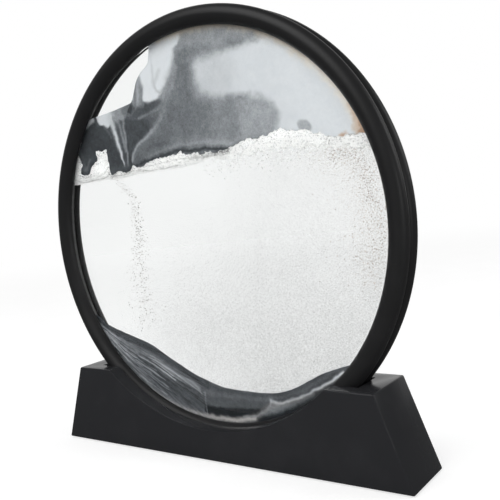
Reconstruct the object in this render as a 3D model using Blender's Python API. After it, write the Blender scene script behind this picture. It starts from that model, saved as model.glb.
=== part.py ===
"""Moving sand art frame: a sealed glass sand cell in a round ring, standing in a slotted base.

Units are metres. X runs along the base, the front faces -Y and Z is up. The origin is
under the middle of the base, on the surface that the feet stand on.
"""

import math

import bmesh
import bpy

# Ring frame, two turned halves that close round the glass cell
RING_DIAMETER = 0.178
RING_THICKNESS = 0.0130
RING_BEAD_HEIGHT = 0.0079
SEAM_GROOVE_DEPTH = 0.0025
RING_FACE_WIDTH = 0.0078
REAR_FACE_WIDTH = 0.0057
LIP_TIP_THICKNESS = 0.0005
LIP_SLOPE_FULLNESS = 1.6
TONGUE_THICKNESS = 0.0008
TONGUE_LENGTH = 0.0012

# Glass cell inside the ring
CELL_GAP = 0.0018
GLASS_THICKNESS = 0.0015
SEAL_OVERLAP = 0.0016
SEAL_WIDTH = 0.0008
TAPE_THICKNESS = 0.0002
TAPE_WIDTH = 0.0018
REAR_TAPE_WIDTH = 0.0005
FILL_PORT_DIRECTION = 150.0
FILL_PORT_WIDTH = 0.0060

# Base, a hollow moulding with sloping ends, closed from below by a plate
BASE_BOTTOM_LENGTH = 0.1750
BASE_TOP_LENGTH = 0.1499
BASE_HEIGHT = 0.0345
BASE_DEPTH = 0.0266
BASE_WALL = 0.0022
BASE_EDGE_ROUND = 0.0006
SLOT_FLOOR_HEIGHT = 0.0051
SLOT_WALL = 0.0020
WINDOW_MARGIN = 0.0004
BOSS_RADIUS = 0.0027
BOSS_FROM_END = 0.0255
BOSS_FROM_FACE = 0.0062

# Closing plate, its screws and its feet
PLATE_THICKNESS = 0.0020
SCREW_HEAD_RADIUS = 0.0024
SCREW_HEAD_HEIGHT = 0.0014
SCREW_SHANK_RADIUS = 0.0010
SCREW_LENGTH = 0.0090
SCREW_SINK = 0.0002
FOOT_RADIUS = 0.0038
FOOT_PROUD = 0.0006
FOOT_SUNK = 0.0003
FOOT_FROM_END = 0.0110
FOOT_FROM_FACE = 0.0070

# Clearances
FIT_GAP = 0.0003
RUNNING_GAP = 0.0004
BOND_GAP = 0.0001
FILM_GAP = 0.00005

# Fineness of round shapes
RING_STEPS = 72
BEAD_STEPS = 9
SLOPE_STEPS = 5
SMALL_STEPS = 20
ARC_STEP_DEGREES = 5.0
EDGE_STEPS = 3
SMOOTH_ANGLE = math.radians(35.0)
SHARPEST_INSET = 0.4
INSET_TOLERANCE = 0.98
CUT_MARGIN = 0.0020

# Sizes that follow from the ones above
RING_RADIUS = RING_DIAMETER / 2
LIP_RADIUS = RING_RADIUS - RING_FACE_WIDTH
REAR_LIP_RADIUS = RING_RADIUS - REAR_FACE_WIDTH
RING_HALF = RING_THICKNESS / 2
SLOT_RADIUS = RING_RADIUS + RUNNING_GAP
SLOT_HALF_WIDTH = RING_HALF + RUNNING_GAP
WINDOW_RADIUS = LIP_RADIUS + WINDOW_MARGIN
SHELL_BOTTOM = FOOT_PROUD
SHELL_TOP = SHELL_BOTTOM + BASE_HEIGHT
RING_CENTRE_Z = SHELL_BOTTOM + SLOT_FLOOR_HEIGHT + SLOT_RADIUS
GLASS_INNER = CELL_GAP / 2
GLASS_OUTER = GLASS_INNER + GLASS_THICKNESS
LIP_BACK = GLASS_OUTER + BOND_GAP + TAPE_THICKNESS + BOND_GAP
LIP_FRONT = LIP_BACK + LIP_TIP_THICKNESS
SEAL_INNER_RADIUS = LIP_RADIUS + SEAL_OVERLAP
SEAL_OUTER_RADIUS = SEAL_INNER_RADIUS + SEAL_WIDTH
GLASS_RADIUS = SEAL_OUTER_RADIUS + FIT_GAP
POCKET_RADIUS = GLASS_RADIUS + FIT_GAP
FILLING_RADIUS = SEAL_INNER_RADIUS - FIT_GAP
END_SLOPE = (BASE_BOTTOM_LENGTH - BASE_TOP_LENGTH) / 2 / BASE_HEIGHT

# Outlines of the sand, in shares of the radius that the filling has inside its seal.
# X runs to the right and Z up from the ring's centre, and the ends that lie on the
# seal are given by their direction in degrees, counted from +X towards +Z.
AIR_RIGHT_DIRECTION = 105.5
AIR_LEFT_DIRECTION = 139.7
BAND_LEFT_DIRECTION = 93.6
BAND_RIGHT_DIRECTION = 62.0
FROTH_TOP_LEFT_DIRECTION = 159.5
FROTH_TOP_RIGHT_DIRECTION = 21.0
FROTH_LOW_LEFT_DIRECTION = 162.6
FROTH_LOW_RIGHT_DIRECTION = 17.8
DUNE_LEFT_DIRECTION = 206.9
DUNE_RIGHT_DIRECTION = 320.3
SLOPE_FOOT_DIRECTION = 263.2
RIDGE_TOP_DIRECTION = 317.4
RIDGE_LOW_DIRECTION = 315.4
RIDGE_FOOT_DIRECTION = 281.0

AIR_CORNER = (-0.44, 0.697)
FOLD_FOOT_LEFT = (-0.52, 0.365)
FOLD_FOOT_RIGHT = (-0.42, 0.365)
NECK_LEFT = (-0.08, 0.85)
NECK_RIGHT = (0.02, 0.835)
GREY_FOOT = (0.43, 0.43)
CREST_CORNER = (-0.12, -0.79)
HOLLOW_LEFT_TOP = (-0.12, -0.900)
HOLLOW_LEFT_LOW = (-0.12, -0.937)
HOLLOW_TIP = (0.285, -0.872)


def wall_point(direction):
    """Point on the seal's inside, in shares of the filling's radius."""
    angle = math.radians(direction)
    return (math.cos(angle), math.sin(angle))


AIR_EDGE_RIGHT = [wall_point(AIR_RIGHT_DIRECTION), (-0.278, 0.918), (-0.294, 0.875),
                  (-0.343, 0.845), (-0.379, 0.808), (-0.404, 0.759), AIR_CORNER]
AIR_EDGE_LOW = [AIR_CORNER, (-0.52, 0.684), (-0.61, 0.672), (-0.70, 0.663),
                wall_point(AIR_LEFT_DIRECTION)]
FOLD_LEFT = [AIR_CORNER, (-0.47, 0.60), (-0.50, 0.50), FOLD_FOOT_LEFT]
FOLD_RIGHT_TOP = [wall_point(BAND_LEFT_DIRECTION), (-0.07, 0.92), NECK_LEFT]
FOLD_RIGHT_LOW = [NECK_LEFT, (-0.13, 0.77), (-0.23, 0.667), (-0.36, 0.58), (-0.42, 0.47),
                  FOLD_FOOT_RIGHT]
NECK = [NECK_LEFT, NECK_RIGHT]
TOP_BAND_LOW = [NECK_RIGHT, (0.12, 0.835), (0.25, 0.845), (0.37, 0.855),
                wall_point(BAND_RIGHT_DIRECTION)]
GREY_RIGHT = [NECK_RIGHT, (0.012, 0.77), (0.01, 0.70), (0.07, 0.65), (0.19, 0.633),
              (0.31, 0.61), (0.40, 0.595), (0.455, 0.555), (0.47, 0.50), GREY_FOOT]
FROTH_TOP_A = [wall_point(FROTH_TOP_LEFT_DIRECTION), (-0.83, 0.38), (-0.71, 0.45), (-0.61, 0.37),
               FOLD_FOOT_LEFT]
FROTH_TOP_B = [FOLD_FOOT_LEFT, FOLD_FOOT_RIGHT]
FROTH_TOP_C = [FOLD_FOOT_RIGHT, (-0.30, 0.375), (-0.18, 0.40), (0.0, 0.38), (0.12, 0.385),
               (0.245, 0.415), GREY_FOOT]
FROTH_TOP_D = [GREY_FOOT, (0.61, 0.41), (0.76, 0.37), wall_point(FROTH_TOP_RIGHT_DIRECTION)]
FROTH_LOW = [wall_point(FROTH_LOW_RIGHT_DIRECTION), (0.62, 0.345), (0.40, 0.37), (0.145, 0.355),
             (-0.09, 0.33), (-0.43, 0.32), (-0.70, 0.31), wall_point(FROTH_LOW_LEFT_DIRECTION)]
SLOPE_CREST = [wall_point(DUNE_LEFT_DIRECTION), (-0.80, -0.52), (-0.70, -0.553), (-0.59, -0.585),
               (-0.49, -0.617), (-0.38, -0.675), (-0.277, -0.726), CREST_CORNER]
CREST_TOP = [CREST_CORNER, (0.04, -0.826), (0.165, -0.830), (0.29, -0.827), (0.37, -0.812),
             (0.45, -0.78), (0.60, -0.704), wall_point(DUNE_RIGHT_DIRECTION)]
SLOPE_RIGHT = [CREST_CORNER, (-0.13, -0.85), HOLLOW_LEFT_TOP]
HOLLOW_TOP = [HOLLOW_LEFT_TOP, (-0.03, -0.890), (0.08, -0.884), (0.18, -0.880), HOLLOW_TIP]
HOLLOW_LOW = [HOLLOW_LEFT_LOW, (-0.03, -0.958), (0.06, -0.960), (0.15, -0.940),
              (0.23, -0.905), HOLLOW_TIP]
RIDGE_TOP = [HOLLOW_TIP, (0.40, -0.845), (0.52, -0.795), (0.63, -0.74),
             wall_point(RIDGE_TOP_DIRECTION)]
RIDGE_LOW = [wall_point(RIDGE_LOW_DIRECTION), (0.62, -0.77), (0.52, -0.822), (0.40, -0.872),
             (0.31, -0.897), (0.25, -0.925), wall_point(RIDGE_FOOT_DIRECTION)]


def clear_scene():
    """Remove whatever the file holds, so that only the frame is left in it."""
    for thing in list(bpy.data.objects):
        bpy.data.objects.remove(thing, do_unlink=True)


def finish(name, colour, roughness, metallic=0.0):
    """Material of one piece."""
    material = bpy.data.materials.new(name)
    material.use_nodes = True
    shader = material.node_tree.nodes["Principled BSDF"]
    shader.inputs["Base Color"].default_value = (*colour, 1.0)
    shader.inputs["Roughness"].default_value = roughness
    shader.inputs["Metallic"].default_value = metallic
    return material


def black_plastic(name):
    """Satin black moulded plastic, as on the ring and the base."""
    return finish(name, (0.012, 0.012, 0.013), 0.32)


def sand(name, shade):
    """Fine sand of one shade of grey, from 0 for black to 1 for white."""
    return finish(name, (shade, shade, shade), 0.9)


def add_piece(name, bm, material, parent=None):
    """Object of its own made from a finished mesh, closed and facing outwards."""
    bmesh.ops.recalc_face_normals(bm, faces=bm.faces)
    mesh = bpy.data.meshes.new(name)
    bm.to_mesh(mesh)
    bm.free()
    mesh.materials.append(material)
    mesh.shade_smooth()
    mesh.set_sharp_from_angle(angle=SMOOTH_ANGLE)
    piece = bpy.data.objects.new(name, mesh)
    bpy.context.scene.collection.objects.link(piece)
    piece.parent = parent
    return piece


def add_cutter(name, bm):
    """Guide shape for a Boolean, which is no piece of the frame."""
    bmesh.ops.recalc_face_normals(bm, faces=bm.faces)
    mesh = bpy.data.meshes.new(name)
    bm.to_mesh(mesh)
    bm.free()
    cutter = bpy.data.objects.new(name, mesh)
    bpy.context.scene.collection.objects.link(cutter)
    cutter.hide_render = True
    cutter.display_type = "WIRE"
    return cutter


def cut(piece, cutter):
    """Take the cutter's shape out of a piece."""
    step = piece.modifiers.new(cutter.name, "BOOLEAN")
    step.operation = "DIFFERENCE"
    step.solver = "EXACT"
    step.object = cutter


def extrude_outline(bm, outline, y_low, y_high):
    """Closed prism over an outline in X and Z, from y_low to y_high."""
    corners = [bm.verts.new((x, y_low, z)) for x, z in outline]
    face = bm.faces.new(corners)
    grown = bmesh.ops.extrude_face_region(bm, geom=[face])
    moved = [item for item in grown["geom"] if isinstance(item, bmesh.types.BMVert)]
    bmesh.ops.translate(bm, verts=moved, vec=(0.0, y_high - y_low, 0.0))


def turn_about_y(bm, profile, steps=RING_STEPS):
    """Closed ring: a closed profile of radius and Y points turned about the Y axis."""
    points = [bm.verts.new((radius, y, 0.0)) for radius, y in profile]
    edges = [bm.edges.new((a, b)) for a, b in zip(points, points[1:] + points[:1])]
    bmesh.ops.spin(bm, geom=points + edges, cent=(0.0, 0.0, 0.0), axis=(0.0, 1.0, 0.0),
                   dvec=(0.0, 0.0, 0.0), angle=math.tau, steps=steps, use_merge=True)


def circle(radius, steps, centre_z=0.0):
    """Points of a circle in X and Z."""
    turn = math.tau / steps
    return [(radius * math.cos(i * turn), centre_z + radius * math.sin(i * turn))
            for i in range(steps)]


def turn_about_z(bm, profile, centre, steps=SMALL_STEPS):
    """Solid of revolution about an upright axis, from radius and Z points, top to bottom."""
    rings = []
    turn = math.tau / steps
    for radius, z in profile:
        rings.append([bm.verts.new((centre[0] + radius * math.cos(i * turn),
                                    centre[1] + radius * math.sin(i * turn), z))
                      for i in range(steps)])
    for upper, lower in zip(rings, rings[1:]):
        for i in range(steps):
            j = (i + 1) % steps
            bm.faces.new((upper[i], lower[i], lower[j], upper[j]))
    bm.faces.new(rings[0])
    bm.faces.new(list(reversed(rings[-1])))


def smooth_edge(points):
    """Smooth curve through the points of one sand edge, with its ends kept."""
    first = points[0]
    last = points[-1]
    padded = [first] + list(points) + [last]
    curve = []
    for before, a, b, after in zip(padded, padded[1:], padded[2:], padded[3:]):
        for step in range(EDGE_STEPS):
            t = step / EDGE_STEPS
            curve.append(tuple(
                0.5 * (2 * a[k] + (b[k] - before[k]) * t
                       + (2 * before[k] - 5 * a[k] + 4 * b[k] - after[k]) * t ** 2
                       + (3 * a[k] - before[k] - 3 * b[k] + after[k]) * t ** 3)
                for k in range(2)))
    curve.append(last)
    return curve


def wall_edge(start, end):
    """Arc along the seal's inside from one direction to another, in degrees."""
    steps = max(2, math.ceil(abs(end - start) / ARC_STEP_DEGREES))
    return [wall_point(start + (end - start) * i / steps) for i in range(steps + 1)]


def drift_outline(edges):
    """Outline of one sand drift, in metres, with half a fitting gap taken off all round.

    A corner that would come nearer than that to another side, as in a thin tip, is left out.
    """
    points = []
    for edge in edges:
        points.extend(edge[:-1])
    points = [(x * FILLING_RADIUS, z * FILLING_RADIUS) for x, z in points]
    sides = list(zip(points, points[1:] + points[:1]))
    area = sum(a[0] * b[1] - b[0] * a[1] for a, b in sides)
    inset = FIT_GAP / 2
    inward = math.copysign(inset, area)
    outline = []
    for before, here, after in zip(points[-1:] + points[:-1], points, points[1:] + points[:1]):
        first = unit(here[0] - before[0], here[1] - before[1])
        second = unit(after[0] - here[0], after[1] - here[1])
        normal = unit(-first[1] - second[1], first[0] + second[0])
        spread = max(SHARPEST_INSET, normal[1] * first[0] - normal[0] * first[1])
        corner = (here[0] + normal[0] * inward / spread, here[1] + normal[1] * inward / spread)
        if min(distance_to_side(corner, *side) for side in sides) > inset * INSET_TOLERANCE:
            outline.append(corner)
    return outline


def distance_to_side(point, start, end):
    """Shortest distance from a point to a straight side."""
    along = (end[0] - start[0], end[1] - start[1])
    reach = (point[0] - start[0], point[1] - start[1])
    share = (reach[0] * along[0] + reach[1] * along[1]) / (along[0] ** 2 + along[1] ** 2)
    share = min(1.0, max(0.0, share))
    return math.hypot(reach[0] - share * along[0], reach[1] - share * along[1])


def unit(x, z):
    """The direction of a vector, one long."""
    length = math.hypot(x, z)
    return (x / length, z / length)


def bead_profile(lip_radius):
    """Outside of one ring half, from its seam over the bead to its lip's edge.

    The points are a radius and a distance from the seam's plane.
    """
    seam_side = FIT_GAP / 2
    centre_radius = RING_RADIUS - RING_BEAD_HEIGHT / 2
    centre_depth = (seam_side + RING_HALF) / 2
    half_depth = (RING_HALF - seam_side) / 2
    half_height = RING_BEAD_HEIGHT / 2
    groove = math.acos((half_height - SEAM_GROOVE_DEPTH) / half_height)
    points = [(RING_RADIUS - SEAM_GROOVE_DEPTH - FIT_GAP / 2, seam_side)]
    for i in range(BEAD_STEPS + 1):
        angle = -groove + (math.pi / 2 + groove) * i / BEAD_STEPS
        points.append((centre_radius + half_height * math.cos(angle),
                       centre_depth + half_depth * math.sin(angle)))
    drop = centre_radius - lip_radius
    rise = RING_HALF - LIP_FRONT
    for i in range(1, SLOPE_STEPS + 1):
        angle = math.pi / 2 * i / SLOPE_STEPS
        power = 2 / LIP_SLOPE_FULLNESS
        points.append((centre_radius - drop * math.sin(angle) ** power,
                       LIP_FRONT + rise * abs(math.cos(angle)) ** power))
    points[-1] = (lip_radius, LIP_FRONT)
    return points


def build_ring_half(name, side, lip_radius, with_tongue, axis):
    """One half of the ring: bead, lip, pocket for the glass, and its half of the joint."""
    profile = bead_profile(lip_radius)
    profile.append((lip_radius, LIP_BACK))
    profile.append((POCKET_RADIUS, LIP_BACK))
    if with_tongue:
        profile.append((POCKET_RADIUS, -TONGUE_LENGTH))
        profile.append((POCKET_RADIUS + TONGUE_THICKNESS, -TONGUE_LENGTH))
        profile.append((POCKET_RADIUS + TONGUE_THICKNESS, FIT_GAP / 2))
    else:
        recess_radius = POCKET_RADIUS + TONGUE_THICKNESS + FIT_GAP
        profile.append((POCKET_RADIUS, TONGUE_LENGTH + FIT_GAP))
        profile.append((recess_radius, TONGUE_LENGTH + FIT_GAP))
        profile.append((recess_radius, FIT_GAP / 2))
    bm = bmesh.new()
    turn_about_y(bm, [(radius, side * depth) for radius, depth in profile])
    return add_piece(name, bm, black_plastic(name), axis)


def build_glass(name, side, axis):
    """One pane of the cell."""
    bm = bmesh.new()
    extrude_outline(bm, circle(GLASS_RADIUS, RING_STEPS), side * GLASS_INNER,
                    side * GLASS_OUTER)
    return add_piece(name, bm, finish(name, (0.92, 0.95, 0.95), 0.03), axis)


def build_tape(name, side, width, axis):
    """Thin ring of foam tape between a pane and the lip in front of it."""
    near = side * (GLASS_OUTER + BOND_GAP)
    far = side * (GLASS_OUTER + BOND_GAP + TAPE_THICKNESS)
    inner = GLASS_RADIUS - width
    bm = bmesh.new()
    turn_about_y(bm, [(inner, near), (GLASS_RADIUS, near), (GLASS_RADIUS, far), (inner, far)])
    return add_piece(name, bm, finish(name, (0.02, 0.02, 0.02), 0.8), axis)


def ring_sector(inner, outer, start, end):
    """Outline of a stretch of a flat ring between two directions, in degrees."""
    steps = max(1, math.ceil((end - start) / ARC_STEP_DEGREES))
    directions = [start + (end - start) * i / steps for i in range(steps + 1)]
    outer_side = [(outer * x, outer * z) for x, z in map(wall_point, directions)]
    inner_side = [(inner * x, inner * z) for x, z in map(wall_point, reversed(directions))]
    return outer_side + inner_side


def build_seal(axis):
    """Spacer and seal between the panes, open at the fill port, and the port's plug."""
    half_port = math.degrees(FILL_PORT_WIDTH / 2 / SEAL_INNER_RADIUS)
    plug_gap = math.degrees(FIT_GAP / SEAL_INNER_RADIUS)
    half_thickness = GLASS_INNER - BOND_GAP
    for name, start, end, colour in (
            ("spacer_seal", FILL_PORT_DIRECTION + half_port,
             FILL_PORT_DIRECTION - half_port + 360.0, (0.10, 0.10, 0.10)),
            ("fill_plug", FILL_PORT_DIRECTION - half_port + plug_gap,
             FILL_PORT_DIRECTION + half_port - plug_gap, (0.55, 0.55, 0.52))):
        bm = bmesh.new()
        extrude_outline(bm, ring_sector(SEAL_INNER_RADIUS, SEAL_OUTER_RADIUS, start, end),
                        -half_thickness, half_thickness)
        add_piece(name, bm, finish(name, colour, 0.6), axis)


def build_liquid(axis):
    """Clear liquid: the rear half of the filling, round, so that the ring can turn round it."""
    bm = bmesh.new()
    extrude_outline(bm, circle(FILLING_RADIUS, RING_STEPS), FILM_GAP, GLASS_INNER - FILM_GAP)
    return add_piece("liquid_fill", bm, finish("liquid_fill", (0.93, 0.95, 0.96), 0.02), axis)


def build_drift(name, shade, edges, axis):
    """One drift of settled or floating sand, against the front pane."""
    bm = bmesh.new()
    extrude_outline(bm, drift_outline(edges), FILM_GAP - GLASS_INNER, -FILM_GAP)
    return add_piece(name, bm, sand(name, shade), axis)


def build_sand(axis):
    """All drifts, as the photograph shows them: afloat at the top, settled at the bottom."""
    air_right = smooth_edge(AIR_EDGE_RIGHT)
    air_low = smooth_edge(AIR_EDGE_LOW)
    fold_left = smooth_edge(FOLD_LEFT)
    fold_right_top = smooth_edge(FOLD_RIGHT_TOP)
    fold_right_low = smooth_edge(FOLD_RIGHT_LOW)
    band_low = smooth_edge(TOP_BAND_LOW)
    grey_right = smooth_edge(GREY_RIGHT)
    froth_top = [smooth_edge(e) for e in (FROTH_TOP_A, FROTH_TOP_B, FROTH_TOP_C, FROTH_TOP_D)]
    froth_low = smooth_edge(FROTH_LOW)
    slope_crest = smooth_edge(SLOPE_CREST)
    slope_right = smooth_edge(SLOPE_RIGHT)
    crest_top = smooth_edge(CREST_TOP)
    hollow_top = smooth_edge(HOLLOW_TOP)
    hollow_low = smooth_edge(HOLLOW_LOW)
    hollow_left = [HOLLOW_LEFT_TOP, HOLLOW_LEFT_LOW]
    slope_end = [HOLLOW_LEFT_LOW, wall_point(SLOPE_FOOT_DIRECTION)]
    ridge_top = smooth_edge(RIDGE_TOP)
    ridge_low = smooth_edge(RIDGE_LOW)

    build_drift("upper_pale_fold", 0.75, [
        wall_edge(BAND_LEFT_DIRECTION, AIR_RIGHT_DIRECTION), air_right, fold_left,
        froth_top[1], fold_right_low[::-1], fold_right_top[::-1]], axis)
    build_drift("upper_black_drift", 0.03, [
        wall_edge(AIR_LEFT_DIRECTION, FROTH_TOP_LEFT_DIRECTION), froth_top[0],
        fold_left[::-1], air_low], axis)
    build_drift("upper_dark_band", 0.12, [
        wall_edge(BAND_RIGHT_DIRECTION, BAND_LEFT_DIRECTION), fold_right_top, NECK, band_low], axis)
    build_drift("upper_grey_drift", 0.20, [
        fold_right_low, froth_top[2], grey_right[::-1], NECK[::-1]], axis)
    build_drift("upper_milky_drift", 0.62, [
        wall_edge(FROTH_TOP_RIGHT_DIRECTION, BAND_RIGHT_DIRECTION), band_low[::-1], grey_right,
        froth_top[3]], axis)
    build_drift("froth_band", 0.88, [
        froth_top[0], froth_top[1], froth_top[2], froth_top[3],
        wall_edge(FROTH_TOP_RIGHT_DIRECTION, FROTH_LOW_RIGHT_DIRECTION), froth_low,
        wall_edge(FROTH_LOW_LEFT_DIRECTION, FROTH_TOP_LEFT_DIRECTION)], axis)
    build_drift("lower_streaked_slope", 0.25, [
        slope_crest, slope_right, hollow_left, slope_end,
        wall_edge(SLOPE_FOOT_DIRECTION, DUNE_LEFT_DIRECTION)], axis)
    build_drift("lower_dark_crest", 0.06, [
        crest_top, wall_edge(DUNE_RIGHT_DIRECTION, RIDGE_TOP_DIRECTION), ridge_top[::-1],
        hollow_top[::-1], slope_right[::-1]], axis)
    build_drift("lower_black_hollow", 0.02, [
        hollow_top, hollow_low[::-1], hollow_left[::-1]], axis)
    build_drift("lower_pale_ridge", 0.55, [
        slope_end[::-1], hollow_low, ridge_top, wall_edge(RIDGE_TOP_DIRECTION, RIDGE_LOW_DIRECTION),
        ridge_low, wall_edge(RIDGE_FOOT_DIRECTION, SLOPE_FOOT_DIRECTION)], axis)
    build_drift("lower_grey_dune", 0.22, [
        ridge_low, wall_edge(RIDGE_FOOT_DIRECTION, RIDGE_LOW_DIRECTION)], axis)


def trapezoid(bottom_length, top_length, z_low, z_high):
    """Outline of a block with sloping ends."""
    return [(-bottom_length / 2, z_low), (bottom_length / 2, z_low),
            (top_length / 2, z_high), (-top_length / 2, z_high)]


def boss_centres():
    """Where the four screws go, in X and Y."""
    x = BASE_BOTTOM_LENGTH / 2 - BOSS_FROM_END
    y = BASE_DEPTH / 2 - BOSS_FROM_FACE
    return [(i * x, j * y) for i in (-1, 1) for j in (-1, 1)]


def foot_centres():
    """Where the four feet go, in X and Y."""
    x = BASE_BOTTOM_LENGTH / 2 - FOOT_FROM_END
    y = BASE_DEPTH / 2 - FOOT_FROM_FACE
    return [(i * x, j * y) for i in (-1, 1) for j in (-1, 1)]


def build_base_shell():
    """Hollow base: sloping ends, a slot for the ring and a scoop before and behind it."""
    half_depth = BASE_DEPTH / 2
    bm = bmesh.new()
    extrude_outline(bm, trapezoid(BASE_BOTTOM_LENGTH, BASE_TOP_LENGTH, SHELL_BOTTOM,
                                  SHELL_TOP), -half_depth, half_depth)
    bmesh.ops.recalc_face_normals(bm, faces=bm.faces)
    bmesh.ops.bevel(bm, geom=list(bm.edges), offset=BASE_EDGE_ROUND, segments=2, profile=0.5,
                    affect="EDGES")
    shell = add_piece("base_shell", bm, black_plastic("base_shell"))

    wall_along = BASE_WALL * math.hypot(1.0, END_SLOPE)
    ceiling = SHELL_TOP - BASE_WALL
    floor = SHELL_BOTTOM - CUT_MARGIN
    top_length = BASE_TOP_LENGTH + 2 * END_SLOPE * BASE_WALL - 2 * wall_along
    bottom_length = BASE_BOTTOM_LENGTH + 2 * END_SLOPE * CUT_MARGIN - 2 * wall_along
    bm = bmesh.new()
    extrude_outline(bm, trapezoid(bottom_length, top_length, floor, ceiling),
                    BASE_WALL - half_depth, half_depth - BASE_WALL)
    cavity = add_cutter("cavity_cutter", bm)

    slot_outside = SLOT_HALF_WIDTH + SLOT_WALL
    bm = bmesh.new()
    extrude_outline(bm, circle(SLOT_RADIUS + SLOT_WALL, RING_STEPS, RING_CENTRE_Z),
                    -slot_outside, slot_outside)
    cut(cavity, add_cutter("slot_wall_keeper", bm))
    bm = bmesh.new()
    extrude_outline(bm, circle(WINDOW_RADIUS + BASE_WALL, RING_STEPS, RING_CENTRE_Z),
                    -half_depth, half_depth)
    cut(cavity, add_cutter("scoop_wall_keeper", bm))
    boss_bottom = SHELL_BOTTOM + PLATE_THICKNESS + FIT_GAP
    bm = bmesh.new()
    for centre in boss_centres():
        turn_about_z(bm, [(BOSS_RADIUS, SHELL_TOP), (BOSS_RADIUS, boss_bottom)], centre)
    cut(cavity, add_cutter("boss_keeper", bm))
    cut(shell, cavity)

    bm = bmesh.new()
    extrude_outline(bm, circle(SLOT_RADIUS, RING_STEPS, RING_CENTRE_Z), -SLOT_HALF_WIDTH,
                    SLOT_HALF_WIDTH)
    cut(shell, add_cutter("slot_cutter", bm))
    bm = bmesh.new()
    extrude_outline(bm, circle(WINDOW_RADIUS, RING_STEPS, RING_CENTRE_Z),
                    -half_depth - CUT_MARGIN, half_depth + CUT_MARGIN)
    cut(shell, add_cutter("scoop_cutter", bm))
    pilot_radius = SCREW_SHANK_RADIUS + FIT_GAP
    pilot_top = SHELL_BOTTOM + SCREW_SINK + SCREW_LENGTH + 2 * FIT_GAP
    bm = bmesh.new()
    for centre in boss_centres():
        turn_about_z(bm, [(pilot_radius, pilot_top), (pilot_radius, floor)], centre)
    cut(shell, add_cutter("pilot_cutter", bm))


def build_bottom_plate():
    """Plate that closes the base, sunk for its screws and its feet."""
    top = SHELL_BOTTOM + PLATE_THICKNESS
    taper = 2 * END_SLOPE * PLATE_THICKNESS
    inset = 2 * (BASE_WALL * math.hypot(1.0, END_SLOPE) + FIT_GAP)
    bottom_length = BASE_BOTTOM_LENGTH - inset
    half_width = BASE_DEPTH / 2 - BASE_WALL - FIT_GAP
    bm = bmesh.new()
    extrude_outline(bm, trapezoid(bottom_length, bottom_length - taper, SHELL_BOTTOM, top),
                    -half_width, half_width)
    plate = add_piece("bottom_plate", bm, black_plastic("bottom_plate"))

    below = SHELL_BOTTOM - CUT_MARGIN
    head_radius = SCREW_HEAD_RADIUS + FIT_GAP
    hole_radius = SCREW_SHANK_RADIUS + FIT_GAP
    rim = SHELL_BOTTOM + SCREW_SINK
    bm = bmesh.new()
    for centre in boss_centres():
        turn_about_z(bm, [(hole_radius, top + CUT_MARGIN),
                          (hole_radius, rim + SCREW_HEAD_HEIGHT),
                          (head_radius, rim), (head_radius, below)], centre)
    for centre in foot_centres():
        turn_about_z(bm, [(FOOT_RADIUS + FIT_GAP, SHELL_BOTTOM + FOOT_SUNK + FIT_GAP),
                          (FOOT_RADIUS + FIT_GAP, below)], centre)
    cut(plate, add_cutter("plate_cutter", bm))


def build_screws():
    """Countersunk screws that hold the plate to the bosses."""
    rim = SHELL_BOTTOM + SCREW_SINK
    neck = rim + SCREW_HEAD_HEIGHT
    tip = rim + SCREW_LENGTH
    for number, centre in enumerate(boss_centres(), 1):
        name = f"plate_screw_{number}"
        bm = bmesh.new()
        turn_about_z(bm, [(SCREW_SHANK_RADIUS / 2, tip),
                          (SCREW_SHANK_RADIUS, tip - SCREW_SHANK_RADIUS),
                          (SCREW_SHANK_RADIUS, neck), (SCREW_HEAD_RADIUS, rim + FIT_GAP),
                          (SCREW_HEAD_RADIUS, rim)], centre)
        add_piece(name, bm, finish(name, (0.45, 0.45, 0.46), 0.3, 1.0))


def build_feet():
    """Round rubber feet, sunk in the plate."""
    for number, centre in enumerate(foot_centres(), 1):
        name = f"foot_pad_{number}"
        bm = bmesh.new()
        turn_about_z(bm, [(FOOT_RADIUS, SHELL_BOTTOM + FOOT_SUNK), (FOOT_RADIUS, 0.0)], centre)
        add_piece(name, bm, finish(name, (0.03, 0.03, 0.03), 0.85))


def main():
    """Build the base, then the ring with its cell about its own axis."""
    clear_scene()
    build_base_shell()
    build_bottom_plate()
    build_screws()
    build_feet()

    axis = bpy.data.objects.new("ring_axis", None)
    bpy.context.scene.collection.objects.link(axis)
    axis.location = (0.0, 0.0, RING_CENTRE_Z)
    build_ring_half("front_ring", -1, LIP_RADIUS, True, axis)
    build_ring_half("rear_ring", 1, REAR_LIP_RADIUS, False, axis)
    build_glass("front_glass", -1, axis)
    build_glass("rear_glass", 1, axis)
    build_tape("front_tape", -1, TAPE_WIDTH, axis)
    build_tape("rear_tape", 1, REAR_TAPE_WIDTH, axis)
    build_seal(axis)
    build_liquid(axis)
    build_sand(axis)


main()
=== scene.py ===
"""Moving sand art frame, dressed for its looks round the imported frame.

A black ring holds a thin glass cell with clear liquid, drifts of sand afloat at the top
and settled at the bottom, and stands in a slotted base. Units are metres, the front faces
-Y and Z is up. The sand is drawn in millimetres from the ring's centre, with u to the
right and v upwards as seen from the front.
"""

import sys

import functools
import logging
import math
from dataclasses import dataclass, field
from enum import Enum
from typing import Callable, Mapping, Sequence

import bmesh
import bpy
import numpy as np
from bmesh.types import BMesh, BMVert
from bpy.types import ID, Material, Mesh, Node, NodeSocket, NodeTree, Object
from mathutils import Matrix, Vector, geometry


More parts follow.
